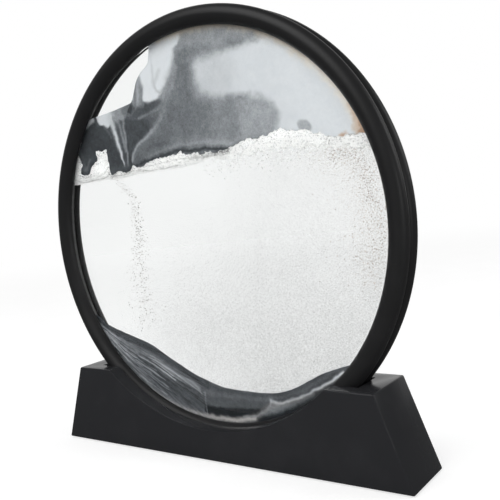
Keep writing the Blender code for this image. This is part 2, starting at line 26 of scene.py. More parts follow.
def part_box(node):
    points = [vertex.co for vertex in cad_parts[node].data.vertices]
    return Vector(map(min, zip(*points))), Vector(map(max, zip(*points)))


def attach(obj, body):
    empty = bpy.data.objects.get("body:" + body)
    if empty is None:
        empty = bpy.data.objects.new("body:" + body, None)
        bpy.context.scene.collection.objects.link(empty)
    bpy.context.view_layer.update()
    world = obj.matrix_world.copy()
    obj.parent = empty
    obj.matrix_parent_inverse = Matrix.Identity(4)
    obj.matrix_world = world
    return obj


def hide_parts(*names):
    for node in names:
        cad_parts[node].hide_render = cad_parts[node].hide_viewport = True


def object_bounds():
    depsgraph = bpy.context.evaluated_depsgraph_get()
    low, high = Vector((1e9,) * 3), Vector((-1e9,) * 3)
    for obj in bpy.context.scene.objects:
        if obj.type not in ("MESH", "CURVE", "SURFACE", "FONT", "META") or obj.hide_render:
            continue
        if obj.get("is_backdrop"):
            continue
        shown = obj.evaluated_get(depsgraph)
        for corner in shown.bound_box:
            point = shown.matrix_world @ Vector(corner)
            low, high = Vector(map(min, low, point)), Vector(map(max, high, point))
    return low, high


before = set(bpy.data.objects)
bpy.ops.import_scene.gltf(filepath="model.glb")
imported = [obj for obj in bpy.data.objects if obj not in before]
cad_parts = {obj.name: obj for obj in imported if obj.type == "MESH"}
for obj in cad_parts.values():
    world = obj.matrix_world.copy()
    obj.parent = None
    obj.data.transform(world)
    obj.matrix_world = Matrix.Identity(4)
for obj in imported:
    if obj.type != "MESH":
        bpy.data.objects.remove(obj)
CAD_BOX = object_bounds()

LOG = logging.getLogger("sand_frame")
MM = 0.001
SMOOTH_ANGLE = math.radians(35.0)
MERGE = 1e-7
ROUND_STEPS = 240
CENTRE_Z = sum(corner.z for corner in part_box("front_ring")) / 2
WHITE = (1.0, 1.0, 1.0)

Spot = tuple[float, float]
Colour = tuple[float, float, float]
Feeds = Mapping[str | int, object]


class Wiring:
    """Places nodes in one tree and joins them."""

    def __init__(self, tree: NodeTree) -> None:
        """Start wiring a tree."""
        self.tree = tree

    def add(self, kind: str, feeds: Feeds | None = None, **settings: object) -> Node:
        """Place one node.

        Args:
            kind: Type name of the node.
            feeds: What goes into its inputs, by name or number.
            settings: Properties of the node itself.

        Returns:
            The new node.
        """
        node = self.tree.nodes.new(kind)
        for name, value in settings.items():
            setattr(node, name, value)
        for socket, value in (feeds or {}).items():
            self.feed(node.inputs[socket], value)
        return node

    def feed(self, socket: NodeSocket, value: object) -> None:
        """Join a socket to another one, or give it a plain value or colour."""
        if isinstance(value, Node):
            value = value.outputs[0]
        if isinstance(value, NodeSocket):
            self.tree.links.new(value, socket)
        else:
            socket.default_value = (*value, 1.0) if socket.type == "RGBA" else value

    def math(self, operation: str, *numbers: object, clamp: bool = False) -> NodeSocket:
        """Result of a sum on up to three numbers."""
        return self.add("ShaderNodeMath", dict(enumerate(numbers)), operation=operation,
                        use_clamp=clamp).outputs[0]

    def times(self, *numbers: object) -> NodeSocket:
        """Product of numbers."""
        return functools.reduce(lambda one, other: self.math("MULTIPLY", one, other), numbers)

    def swing(self, cloud: object, amount: object, middle: object) -> NodeSocket:
        """Middle, moved up or down as a cloudy value lies above or below a half."""
        return self.math("MULTIPLY_ADD", self.math("SUBTRACT", cloud, 0.5), amount, middle)

    def spread(self, value: object, low: float, high: float, to_low: float = 0.0,
               to_high: float = 1.0) -> NodeSocket:
        """Number moved from one range to another, and held inside it."""
        return self.add("ShaderNodeMapRange",
                        {0: value, 1: low, 2: high, 3: to_low, 4: to_high}).outputs[0]

    def blend(self, mode: str, share: object, first: object, second: object) -> NodeSocket:
        """Colour mixed from two colours."""
        return self.add("ShaderNodeMix", {0: share, 6: first, 7: second}, data_type="RGBA",
                        blend_type=mode).outputs[2]

    def noise(self, vector: object, scale: object, detail: float = 2.0,
              roughness: float = 0.5) -> NodeSocket:
        """Cloudy noise from 0 to 1."""
        return self.add("ShaderNodeTexNoise", {"Vector": vector, "Scale": scale, "Detail": detail,
                                               "Roughness": roughness}).outputs[0]

    def attribute(self, name: str, output: str) -> NodeSocket:
        """Value that the mesh keeps under a name."""
        return self.add("ShaderNodeAttribute", attribute_name=name).outputs[output]

    def bump(self, height: object, strength: float, distance: float) -> Node:
        """Fine relief for the Normal socket."""
        return self.add("ShaderNodeBump", {"Strength": strength, "Distance": distance,
                                           "Height": height})

    def effect(self, tree: NodeTree, feeds: Feeds) -> Sequence[NodeSocket]:
        """Outputs of a shared effect, with its values fed in."""
        return self.add("ShaderNodeGroup", feeds, node_tree=tree).outputs


class Group(Wiring):
    """Node group with named inputs and outputs, wired from inside."""

    def __init__(self, name: str, inputs: Mapping[str, object], outputs: Sequence[str],
                 kind: str = "ShaderNodeTree", output_kind: str = "Float") -> None:
        """Start a group.

        Args:
            name: Name of the group.
            inputs: Plain number of each input, or the kind of one that has none.
            outputs: Name of each output.
            kind: Type of the group's tree.
            output_kind: Kind of its outputs.
        """
        super().__init__(bpy.data.node_groups.new(name, kind))
        new_socket = self.tree.interface.new_socket
        for label, value in inputs.items():
            plain = not isinstance(value, str)
            input_kind = type(value).__name__.capitalize() if plain else value
            socket = new_socket(label, in_out="INPUT", socket_type=f"NodeSocket{input_kind}")
            if plain:
                socket.default_value = value
        for label in outputs:
            new_socket(label, in_out="OUTPUT", socket_type=f"NodeSocket{output_kind}")
        self.given = self.add("NodeGroupInput").outputs
        self.result = self.add("NodeGroupOutput").inputs

    def close(self, feeds: Feeds) -> NodeTree:
        """Feed the group's outputs and hand over its tree."""
        for label, value in feeds.items():
            self.feed(self.result[label], value)
        return self.tree


@functools.cache
def moulded_skin() -> NodeTree:
    """Skin of moulded plastic: orange peel, cloudy gloss and specks of dust."""
    group = Group("moulded_skin", {"Vector": "Vector", "Peel Scale": 1400.0, "Cloud Scale": 45.0,
                                   "Roughness": 0.3, "Roughness Spread": 0.08, "Dust": 0.5},
                  ["Roughness", "Height", "Dust"])
    given = group.given
    peel = group.noise(given["Vector"], given["Peel Scale"], 3.0)
    cloud = group.noise(given["Vector"], given["Cloud Scale"], 4.0, 0.6)
    specks = group.add("ShaderNodeTexVoronoi", {"Vector": given["Vector"], "Scale": 900.0}).outputs
    rare = group.add("ShaderNodeTexWhiteNoise", {"Vector": specks["Position"]})
    speck = group.times(group.spread(specks["Distance"], 0.10, 0.04),
                        group.spread(rare, 0.90, 0.91))
    film = group.spread(cloud, 0.50, 0.80, 0.0, 0.12)
    dust = group.times(group.math("MAXIMUM", speck, film), given["Dust"])
    rough = group.swing(cloud, given["Roughness Spread"], given["Roughness"])
    return group.close({"Roughness": group.math("MULTIPLY_ADD", dust, 0.3, rough),
                        "Height": group.math("MULTIPLY_ADD", dust, 0.4, peel), "Dust": dust})


@functools.cache
def sand_grain() -> NodeTree:
    """Grain of fine sand: single grains, soft mottling and rare bright grains."""
    group = Group("sand_grain", {"Vector": "Vector", "Grain Scale": 1600.0,
                                 "Grain Contrast": 0.40, "Mottle Scale": 420.0,
                                 "Mottle Contrast": 0.2, "Sparkle": 0.3},
                  ["Shade", "Height", "Sparkle"])
    given = group.given
    grain = group.noise(given["Vector"], given["Grain Scale"], 2.0, 0.7)
    mottle = group.noise(given["Vector"], given["Mottle Scale"], 4.0, 0.55)
    cells = group.add("ShaderNodeTexVoronoi", {"Vector": given["Vector"],
                                               "Scale": given["Grain Scale"]})
    fleck = group.add("ShaderNodeTexWhiteNoise", {"Vector": cells.outputs["Position"]})
    sparkle = group.times(group.spread(fleck, 0.93, 0.97), given["Sparkle"])
    shade = group.swing(mottle, given["Mottle Contrast"],
                        group.swing(grain, given["Grain Contrast"], 1.0))
    return group.close({"Shade": group.math("MAXIMUM", shade, 0.0),
                        "Height": group.math("ADD", grain, sparkle), "Sparkle": sparkle})


@functools.cache
def sand_streaks() -> NodeTree:
    """Fine streaks that follow the way a drift slid, from its flow attribute."""
    group = Group("sand_streaks", {"Vector": "Vector", "Closeness": 1.0, "Contrast": 0.3},
                  ["Shade", "Height"])
    given = group.given
    fine = group.noise(given["Vector"], given["Closeness"], 3.0, 0.6)
    broad = group.noise(given["Vector"], group.times(given["Closeness"], 0.35), 1.0)
    both = group.swing(fine, 1.4, group.math("SUBTRACT", broad, 0.5))
    shade = group.math("MULTIPLY_ADD", both, given["Contrast"], 1.0)
    return group.close({"Shade": group.math("MAXIMUM", shade, 0.0), "Height": both})


@functools.cache
def smudges() -> NodeTree:
    """Faint wipe marks that vary how smooth a polished face is."""
    group = Group("smudges", {"Vector": "Vector", "Least": 0.0, "Most": 0.03}, ["Roughness"])
    given = group.given
    wipe = group.add("ShaderNodeMapping", {"Vector": given["Vector"],
                                           "Rotation": (0.0, 0.5, 0.0),
                                           "Scale": (1.0, 1.0, 3.0)})
    amount = group.spread(group.noise(wipe, 18.0, 5.0, 0.6), 0.55, 0.75)
    span = group.math("SUBTRACT", given["Most"], given["Least"])
    return group.close({"Roughness": group.math("MULTIPLY_ADD", amount, span, given["Least"])})


@dataclass(frozen=True)
class Finish:
    """Finish of one kind of surface, on a Principled shader."""

    name: str

    def looks(self, wires: Wiring, place: NodeSocket) -> Feeds:
        """What goes into the shader's sockets, from the place on the surface."""
        raise NotImplementedError

    def surface(self, wires: Wiring, shader: Node) -> Node:
        """What the surface shows, which is the shader alone unless a finish mixes it."""
        return shader

    def build(self) -> Material:
        """The finish as a Blender material."""
        material = bpy.data.materials.new(self.name)
        material.use_nodes = True
        wires, nodes = Wiring(material.node_tree), material.node_tree.nodes
        shader = nodes["Principled BSDF"]
        place = wires.add("ShaderNodeTexCoord").outputs["Object"]
        for socket, value in self.looks(wires, place).items():
            wires.feed(shader.inputs[socket], value)
        wires.feed(nodes["Material Output"].inputs["Surface"], self.surface(wires, shader))
        return material


@dataclass(frozen=True)
class BlackPlastic(Finish):
    """Satin black moulded plastic."""

    colour: Colour = (0.0130, 0.0130, 0.0136)
    dust_colour: Colour = (0.16, 0.16, 0.165)
    roughness: float = 0.30
    roughness_spread: float = 0.10
    peel_scale: float = 1300.0
    bump: float = 0.03
    dust: float = 0.30
    specular: float = 0.34

    def looks(self, wires: Wiring, place: NodeSocket) -> Feeds:
        """Black with faint dust, an uneven gloss and orange peel."""
        skin = wires.effect(moulded_skin(), {
            "Vector": place, "Peel Scale": self.peel_scale, "Roughness": self.roughness,
            "Roughness Spread": self.roughness_spread, "Dust": self.dust})
        return {"Base Color": wires.blend("MIX", skin["Dust"], self.colour, self.dust_colour),
                "Roughness": skin["Roughness"], "Specular IOR Level": self.specular,
                "Normal": wires.bump(skin["Height"], self.bump, 0.0004)}


@dataclass(frozen=True)
class DriftSand(Finish):
    """Fine sand of a drift, in the tones painted on it, with its own grain."""

    grain_contrast: float = 1.05
    mottle_contrast: float = 0.30
    mottle_scale: float = 480.0
    streak_contrast: float = 0.12
    streak_closeness: float = 0.9
    sparkle: float = 0.25
    pale_share: float = 0.15
    roughness: float = 0.85

    def looks(self, wires: Wiring, place: NodeSocket) -> Feeds:
        """Painted tones with grain and streaks, which grow fainter where the sand is pale."""
        paint = wires.attribute("paint", "Color")
        level = wires.add("ShaderNodeSeparateColor", {"Color": paint}).outputs["Green"]
        calm = wires.spread(level, 0.15, 0.55, 1.0, self.pale_share)
        grain = wires.effect(sand_grain(), {
            "Vector": place, "Grain Contrast": wires.times(calm, self.grain_contrast),
            "Mottle Scale": self.mottle_scale,
            "Mottle Contrast": wires.times(calm, self.mottle_contrast),
            "Sparkle": wires.times(calm, self.sparkle)})
        streaks = wires.effect(sand_streaks(), {
            "Vector": wires.attribute("flow", "Vector"), "Closeness": self.streak_closeness,
            "Contrast": wires.times(calm, self.streak_contrast)})
        shade = wires.times(grain["Shade"], streaks["Shade"])
        height = wires.math("MULTIPLY_ADD", streaks["Height"], 0.5, grain["Height"])
        return {"Base Color": wires.blend("MULTIPLY", 1.0, paint, shade),
                "Roughness": wires.math("MULTIPLY_ADD", grain["Sparkle"], -0.5, self.roughness),
                "Specular IOR Level": 0.2, "Normal": wires.bump(height, 0.25, 0.0001)}


@dataclass(frozen=True)
class LooseGrains(Finish):
    """Single grains or bubbles, each of its own shade between two tones."""

    dark: Colour
    light: Colour
    roughness: float = 0.6

    def looks(self, wires: Wiring, place: NodeSocket) -> Feeds:
        """A shade drawn for each grain, with a grain of its own."""
        grain = wires.effect(sand_grain(), {"Vector": place, "Grain Scale": 6000.0})
        colour = wires.blend("MIX", wires.attribute("shade", "Fac"), self.dark, self.light)
        return {"Base Color": wires.blend("MULTIPLY", 1.0, colour, grain["Shade"]),
                "Roughness": wires.math("MULTIPLY_ADD", grain["Sparkle"], -0.5, self.roughness),
                "Normal": wires.bump(grain["Height"], 0.2, 0.00005)}


@dataclass(frozen=True)
class HazeVeil(Finish):
    """Cloud of grains too fine to see one by one."""

    colour: Colour = (0.30, 0.303, 0.306)
    most: float = 0.078

    def looks(self, wires: Wiring, place: NodeSocket) -> Feeds:
        """A thin, uneven grey that follows how crowded the grains are."""
        fine = wires.spread(wires.noise(place, 1500.0, 3.0, 0.8), 0.30, 0.75, 0.55, 1.45)
        cloud = wires.spread(wires.noise(place, 60.0, 4.0, 0.6), 0.30, 0.70, 0.94, 1.06)
        thick = wires.times(fine, cloud, wires.attribute("crowding", "Fac"))
        tone = wires.spread(wires.noise(place, 1500.0), 0.3, 0.7, 0.85, 1.1)
        return {"Base Color": wires.blend("MULTIPLY", 1.0, self.colour, tone),
                "Alpha": wires.math("MULTIPLY", thick, self.most, clamp=True),
                "Roughness": wires.spread(fine, 0.0, 1.6, 0.8, 1.0), "Specular IOR Level": 0.0}


@dataclass(frozen=True)
class ClearStuff(Finish):
    """Clear glass or liquid that lets the lamps' light through."""

    colour: Colour
    ior: float
    most_roughness: float

    def looks(self, wires: Wiring, place: NodeSocket) -> Feeds:
        """Clear, with faint wipe marks in its gloss."""
        wipes = wires.effect(smudges(), {"Vector": place, "Most": self.most_roughness})
        return {"Base Color": self.colour, "Roughness": wipes["Roughness"], "IOR": self.ior,
                "Transmission Weight": 1.0}

    def surface(self, wires: Wiring, shader: Node) -> Node:
        """The shader, but see-through for the light that casts shadows."""
        clear = wires.add("ShaderNodeBsdfTransparent", {"Color": self.colour})
        path = wires.add("ShaderNodeLightPath").outputs
        return wires.add("ShaderNodeMixShader", {0: path["Is Shadow Ray"], 1: shader, 2: clear})


@dataclass(frozen=True)
class SoftSeal(Finish):
    """Dull rubber or foam, with pores and a worn grain."""

    colour: Colour
    pore_scale: float = 2200.0
    roughness: float = 0.8
    bump: float = 0.4

    def looks(self, wires: Wiring, place: NodeSocket) -> Feeds:
        """Pores painted dark as their shade, in a cloudy dull face."""
        pores = wires.add("ShaderNodeTexVoronoi", {"Vector": place, "Scale": self.pore_scale})
        depth = wires.spread(pores.outputs["Distance"], 0.0, 0.6)
        cloud = wires.noise(place, self.pore_scale / 8, 4.0)
        # Painted shade: the colour is darker where the pores dip
        shade = wires.math("MULTIPLY_ADD", depth, 0.4, wires.times(cloud, 1.2))
        rough = wires.spread(cloud, 0.0, 1.0, self.roughness - 0.1, self.roughness + 0.1)
        return {"Base Color": wires.blend("MULTIPLY", 1.0, self.colour, shade),
                "Roughness": rough, "Normal": wires.bump(depth, self.bump, 0.0002)}


@dataclass(frozen=True)
class BrushedSteel(Finish):
    """Plated screw steel, turned and lightly marked."""

    colour: Colour = (0.50, 0.49, 0.47)
    stain_colour: Colour = (0.30, 0.28, 0.25)

    def looks(self, wires: Wiring, place: NodeSocket) -> Feeds:
        """Stained plating with turning marks."""
        stretch = wires.add("ShaderNodeMapping", {"Vector": place, "Scale": (1.0, 1.0, 12.0)})
        marks = wires.noise(stretch, 1600.0, 4.0, 0.7)
        stain = wires.spread(wires.noise(place, 350.0, 3.0), 0.5, 0.8)
        return {"Base Color": wires.blend("MIX", stain, self.colour, self.stain_colour),
                "Metallic": 1.0, "Roughness": wires.spread(marks, 0.2, 0.8, 0.22, 0.45),
                "Normal": wires.bump(marks, 0.15, 0.0001)}


def add_object(name: str, data: ID) -> Object:
    """Put a mesh, a lamp or a camera in the scene as one object."""
    piece = bpy.data.objects.new(name, data)
    bpy.context.scene.collection.objects.link(piece)
    return piece


def plain_mesh(name: str, places: Sequence, edges: Sequence = (), faces: Sequence = ()) -> Mesh:
    """Mesh from points, edges and faces."""
    mesh = bpy.data.meshes.new(name)
    mesh.from_pydata(places, edges, faces)
    return mesh


def write_mesh(bm: BMesh, mesh: Mesh) -> Mesh:
    """Write a bmesh to a mesh, with doubles merged and faces pointing outwards."""
    bmesh.ops.remove_doubles(bm, verts=bm.verts, dist=MERGE)
    bmesh.ops.recalc_face_normals(bm, faces=bm.faces)
    bm.to_mesh(mesh)
    bm.free()
    return mesh


def keep_modified(piece: Object) -> None:
    """Make what an object's modifiers show its plain mesh, and remove them."""
    depsgraph = bpy.context.evaluated_depsgraph_get()
    mesh = bpy.data.meshes.new_from_object(piece.evaluated_get(depsgraph), depsgraph=depsgraph)
    piece.modifiers.clear()
    piece.data = mesh
    mesh.name = piece.name


def run_tree(carrier: Object, tree: NodeTree, settings: Mapping[str, object]) -> Object:
    """Run a Geometry Nodes tree on an object and keep the result as its plain mesh.

    Args:
        carrier: Object whose mesh goes into the tree.
        tree: The tree to run.
        settings: Values of the tree's inputs, by name.

    Returns:
        The same object, with the finished mesh and no modifier.
    """
    sockets = {item.name: item.identifier for item in tree.interface.items_tree
               if item.in_out == "INPUT"}
    modifier = carrier.modifiers.new(tree.name, "NODES")
    modifier.node_group = tree
    for label, value in settings.items():
        modifier[sockets[label]] = value
    keep_modified(carrier)
    return carrier


def settle(piece: Object, body: str, slot: str, *nodes: str, material: Material | None = None,
           merged: bool = False, smooth: bool = True) -> None:
    """Finish a piece, hang it on the body that it rides on and hide the nodes that it stands for.

    Args:
        piece: The piece.
        body: Body that it rides on.
        slot: Material of the frame that its finish stands for. Not used.
        nodes: Nodes of the frame that it stands for.
        material: Its only material, if its mesh has none yet.
        merged: Whether its doubles are merged first.
        smooth: Whether faces that meet at a small angle are shaded as one.
    """
    mesh = piece.data
    if merged:
        bm = bmesh.new()
        bm.from_mesh(mesh)
        write_mesh(bm, mesh)
    if material is not None:
        mesh.materials.clear()
        mesh.materials.append(material)
    if smooth:
        mesh.shade_smooth()
        mesh.set_sharp_from_angle(angle=SMOOTH_ANGLE)
    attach(piece, body)
    if nodes:
        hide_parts(*nodes)
    LOG.info("%s: %d faces on %s", piece.name, len(mesh.polygons), body)


class ShapeTree(Group):
    """Geometry Nodes tree that ends in plain geometry with its material."""

    def __init__(self, name: str, inputs: Mapping[str, object]) -> None:
        """Start a tree that takes a geometry and a material besides its own inputs."""
        super().__init__(name, {"Geometry": "Geometry", **inputs, "Material": "Material"},
                         ["Geometry"], "GeometryNodeTree", "Geometry")

    def dress(self, geometry_made: Node) -> NodeTree:
        """Make all copies real, set the material and hand over the tree."""
        real = self.add("GeometryNodeRealizeInstances", {"Geometry": geometry_made})
        return self.close({"Geometry": self.add("GeometryNodeSetMaterial", {
            "Geometry": real, "Material": self.given["Material"]})})


@functools.cache
def swept_ring() -> NodeTree:
    """Ring: a closed outline swept round a circle about the frame's own axis."""
    tree = ShapeTree("swept_ring", {"Radius": 0.08, "Steps": ROUND_STEPS, "Height": 0.0})
    given = tree.given
    outline = tree.add("GeometryNodeMeshToCurve", {"Mesh": given["Geometry"]})
    path = tree.add("GeometryNodeCurvePrimitiveCircle", {"Resolution": given["Steps"],
                                                         "Radius": given["Radius"]})
    sweep = tree.add("GeometryNodeCurveToMesh", {"Curve": path, "Profile Curve": outline})
    centre = tree.add("ShaderNodeCombineXYZ", {"Z": given["Height"]})
    return tree.dress(tree.add("GeometryNodeTransform", {
        "Geometry": sweep, "Translation": centre, "Rotation": (math.pi / 2, 0.0, 0.0)}))


@functools.cache
def copies() -> NodeTree:
    """Copies of one pattern, such as a screw or a foot, at the points of a mesh."""
    tree = ShapeTree("copies", {"Pattern": "Object", "Turn Spread": 0.0, "Seed": 1})
    given = tree.given
    pattern = tree.add("GeometryNodeObjectInfo", {"Object": given["Pattern"]})
    turn = tree.add("FunctionNodeRandomValue", {3: given["Turn Spread"], "Seed": given["Seed"]},
                    data_type="FLOAT")
    rotation = tree.add("ShaderNodeCombineXYZ", {"Z": turn.outputs[1]})
    return tree.dress(tree.add("GeometryNodeInstanceOnPoints", {
        "Points": given["Geometry"], "Instance": pattern.outputs["Geometry"],
        "Rotation": rotation}))


class GrainShape(Enum):
    """What a strewn grain looks like."""

    BUBBLE = "bubble"
    GRAIN = "grain"


@functools.cache
def scatter(shape: GrainShape) -> NodeTree:
    """Grains strewn over a sheet, as thick as its crowding attribute says."""
    tree = ShapeTree(f"scatter_{shape.value}", {"Density": 1.0, "Smallest": 0.1, "Largest": 0.2,
                                                "Depth": 0.1, "Seed": 1})
    given = tree.given

    def draw(offset: int, low: object, high: object) -> NodeSocket:
        """Number drawn for each point, from low to high."""
        seed = tree.math("ADD", given["Seed"], float(offset))
        return tree.add("FunctionNodeRandomValue", {2: low, 3: high, 8: seed},
                        data_type="FLOAT").outputs[1]

    crowding = tree.add("GeometryNodeInputNamedAttribute", {"Name": "crowding"},
                        data_type="FLOAT")
    points = tree.add("GeometryNodeDistributePointsOnFaces", {
        "Mesh": given["Geometry"], "Density": tree.times(crowding, given["Density"]),
        "Seed": given["Seed"]})
    shift = tree.add("ShaderNodeCombineXYZ", {
        "Y": draw(1, tree.times(given["Depth"], -1.0), given["Depth"])})
    moved = tree.add("GeometryNodeSetPosition", {"Geometry": points, "Offset": shift})
    if shape is GrainShape.BUBBLE:
        grain = tree.add("GeometryNodeMeshIcoSphere", {"Radius": 1.0, "Subdivisions": 1})
    else:
        grain = tree.add("GeometryNodeMeshUVSphere", {"Segments": 4, "Rings": 2, "Radius": 1.0})
    span = tree.math("SUBTRACT", given["Largest"], given["Smallest"])
    size = tree.math("MULTIPLY_ADD", tree.math("POWER", draw(2, 0.0, 1.0), 2.0), span,
                     given["Smallest"])
    spin = tree.add("ShaderNodeCombineXYZ", {axis: draw(3 + number, 0.0, math.tau)
                                             for number, axis in enumerate("XYZ")})
    placed = tree.add("GeometryNodeInstanceOnPoints", {
        "Points": moved, "Instance": grain, "Rotation": spin, "Scale": size})
    return tree.dress(tree.add("GeometryNodeStoreNamedAttribute", {
        "Geometry": placed, "Name": "shade", "Value": draw(6, 0.0, 1.0)},
        data_type="FLOAT", domain="INSTANCE"))


def loft(bm: BMesh, rows: Sequence[Sequence[Sequence[float]]], looped: bool = False,
         wrapped: bool = True) -> None:
    """Skin rows of points, one after another.

    Args:
        bm: Where the faces go.
        rows: Corners of each row, as many in each.
        looped: Whether the last row meets the first. Otherwise both ends are closed.
        wrapped: Whether a row's last corner meets its first.
    """
    rings = [[bm.verts.new(corner) for corner in row] for row in rows]
    count = len(rings[0])
    if looped:
        rings.append(rings[0])
    else:
        bm.faces.new(rings[0])
        bm.faces.new(rings[-1][::-1])
    for one, other in zip(rings, rings[1:]):
        for i in range(count if wrapped else count - 1):
            j = (i + 1) % count
            bm.faces.new((one[i], one[j], other[j], other[i]))


@dataclass
class RingFrame:
    """The black ring: two turned halves that meet in a groove and hold the cell."""

    radius: float = 0.0890
    thickness: float = 0.0130
    bead_height: float = 0.0079
    groove_depth: float = 0.0025
    lip_radius: float = 0.0812
    rear_lip_radius: float = 0.0833
    lip_back: float = 0.0028
    lip_tip: float = 0.0005
    lip_fullness: float = 1.6
    pocket_radius: float = 0.0842
    tongue: Spot = (0.0008, 0.0012)
    fit_gap: float = 0.0003
    bead_steps: int = 26
    slope_steps: int = 16
    path_radius: float = 0.080

    def outline(self, lip_radius: float, with_tongue: bool) -> list[Spot]:
        """Closed outline of one half: radius, and distance from the seam's plane."""
        half = self.thickness / 2
        seam = self.fit_gap / 2
        lip_front = self.lip_back + self.lip_tip
        centre_radius = self.radius - self.bead_height / 2
        centre_depth = (seam + half) / 2
        half_depth = (half - seam) / 2
        half_height = self.bead_height / 2
        groove = math.acos((half_height - self.groove_depth) / half_height)
        points = [(self.radius - self.groove_depth - seam, seam)]
        for i in range(self.bead_steps + 1):
            angle = -groove + (math.pi / 2 + groove) * i / self.bead_steps
            points.append((centre_radius + half_height * math.cos(angle),
                           centre_depth + half_depth * math.sin(angle)))
        drop = centre_radius - lip_radius
        rise = half - lip_front
        power = 2 / self.lip_fullness
        for i in range(1, self.slope_steps):
            angle = math.pi / 2 * i / self.slope_steps
            points.append((centre_radius - drop * math.sin(angle) ** power,
                           lip_front + rise * math.cos(angle) ** power))
        soft = self.lip_tip * 0.3
        points += [(lip_radius + soft * 0.3, lip_front), (lip_radius, lip_front - soft),
                   (lip_radius, self.lip_back), (self.pocket_radius, self.lip_back)]
        thick, reach = self.tongue
        if with_tongue:
            points += [(self.pocket_radius, -reach), (self.pocket_radius + thick, -reach),
                       (self.pocket_radius + thick, seam)]
        else:
            recess = self.pocket_radius + thick + self.fit_gap
            points += [(self.pocket_radius, reach + self.fit_gap),
                       (recess, reach + self.fit_gap), (recess, seam)]
        return points

    def build_half(self, name: str, node: str, side: int, lip_radius: float,
                   material: Material) -> None:
        """Sweep one half round and let it stand for its node."""
        corners = [(radius - self.path_radius, side * depth, 0.0)
                   for radius, depth in self.outline(lip_radius, with_tongue=side < 0)]
        sides = [(i, (i + 1) % len(corners)) for i in range(len(corners))]
        piece = run_tree(add_object(name, plain_mesh(name, corners, sides)), swept_ring(), {
            "Radius": self.path_radius, "Height": CENTRE_Z, "Steps": ROUND_STEPS,
            "Material": material})
        settle(piece, "sand_frame", "ring_plastic", node, merged=True)

    def build(self) -> None:
        """Both halves."""
        material = BlackPlastic("ring_black_satin", roughness=0.42, peel_scale=900.0,
                                dust=0.22, specular=0.28).build()
        self.build_half("ring_half_front", "front_ring", -1, self.lip_radius, material)
        self.build_half("ring_half_rear", "rear_ring", 1, self.rear_lip_radius, material)


def turned_mesh(name: str, outline: Sequence[Spot], start: float = 0.0,
                end: float = 360.0) -> Mesh:
    """Closed outline of radius and Y points turned about the ring's axis.

    Args:
        name: Name of the mesh.
        outline: Radius and Y of each corner. One that starts and ends at a radius of zero
            is closed as a disc.
        start: Direction in degrees where the turn starts.
        end: Direction where it ends. Less than a full turn gets flat ends.

    Returns:
        The mesh, in place.
    """
    full = end - start >= 360.0
    steps = max(2, round(ROUND_STEPS * (end - start) / 360.0))
    angles = [math.radians(start + (end - start) * i / steps)
              for i in range(steps if full else steps + 1)]
    bm = bmesh.new()
    loft(bm, [[(radius * math.cos(angle), y, CENTRE_Z + radius * math.sin(angle))
               for radius, y in outline] for angle in angles], full, outline[0][0] > 0.0)
    bmesh.ops.remove_doubles(bm, verts=bm.verts, dist=MERGE)
    bmesh.ops.dissolve_degenerate(bm, dist=1e-8, edges=bm.edges)
    return write_mesh(bm, bpy.data.meshes.new(name))


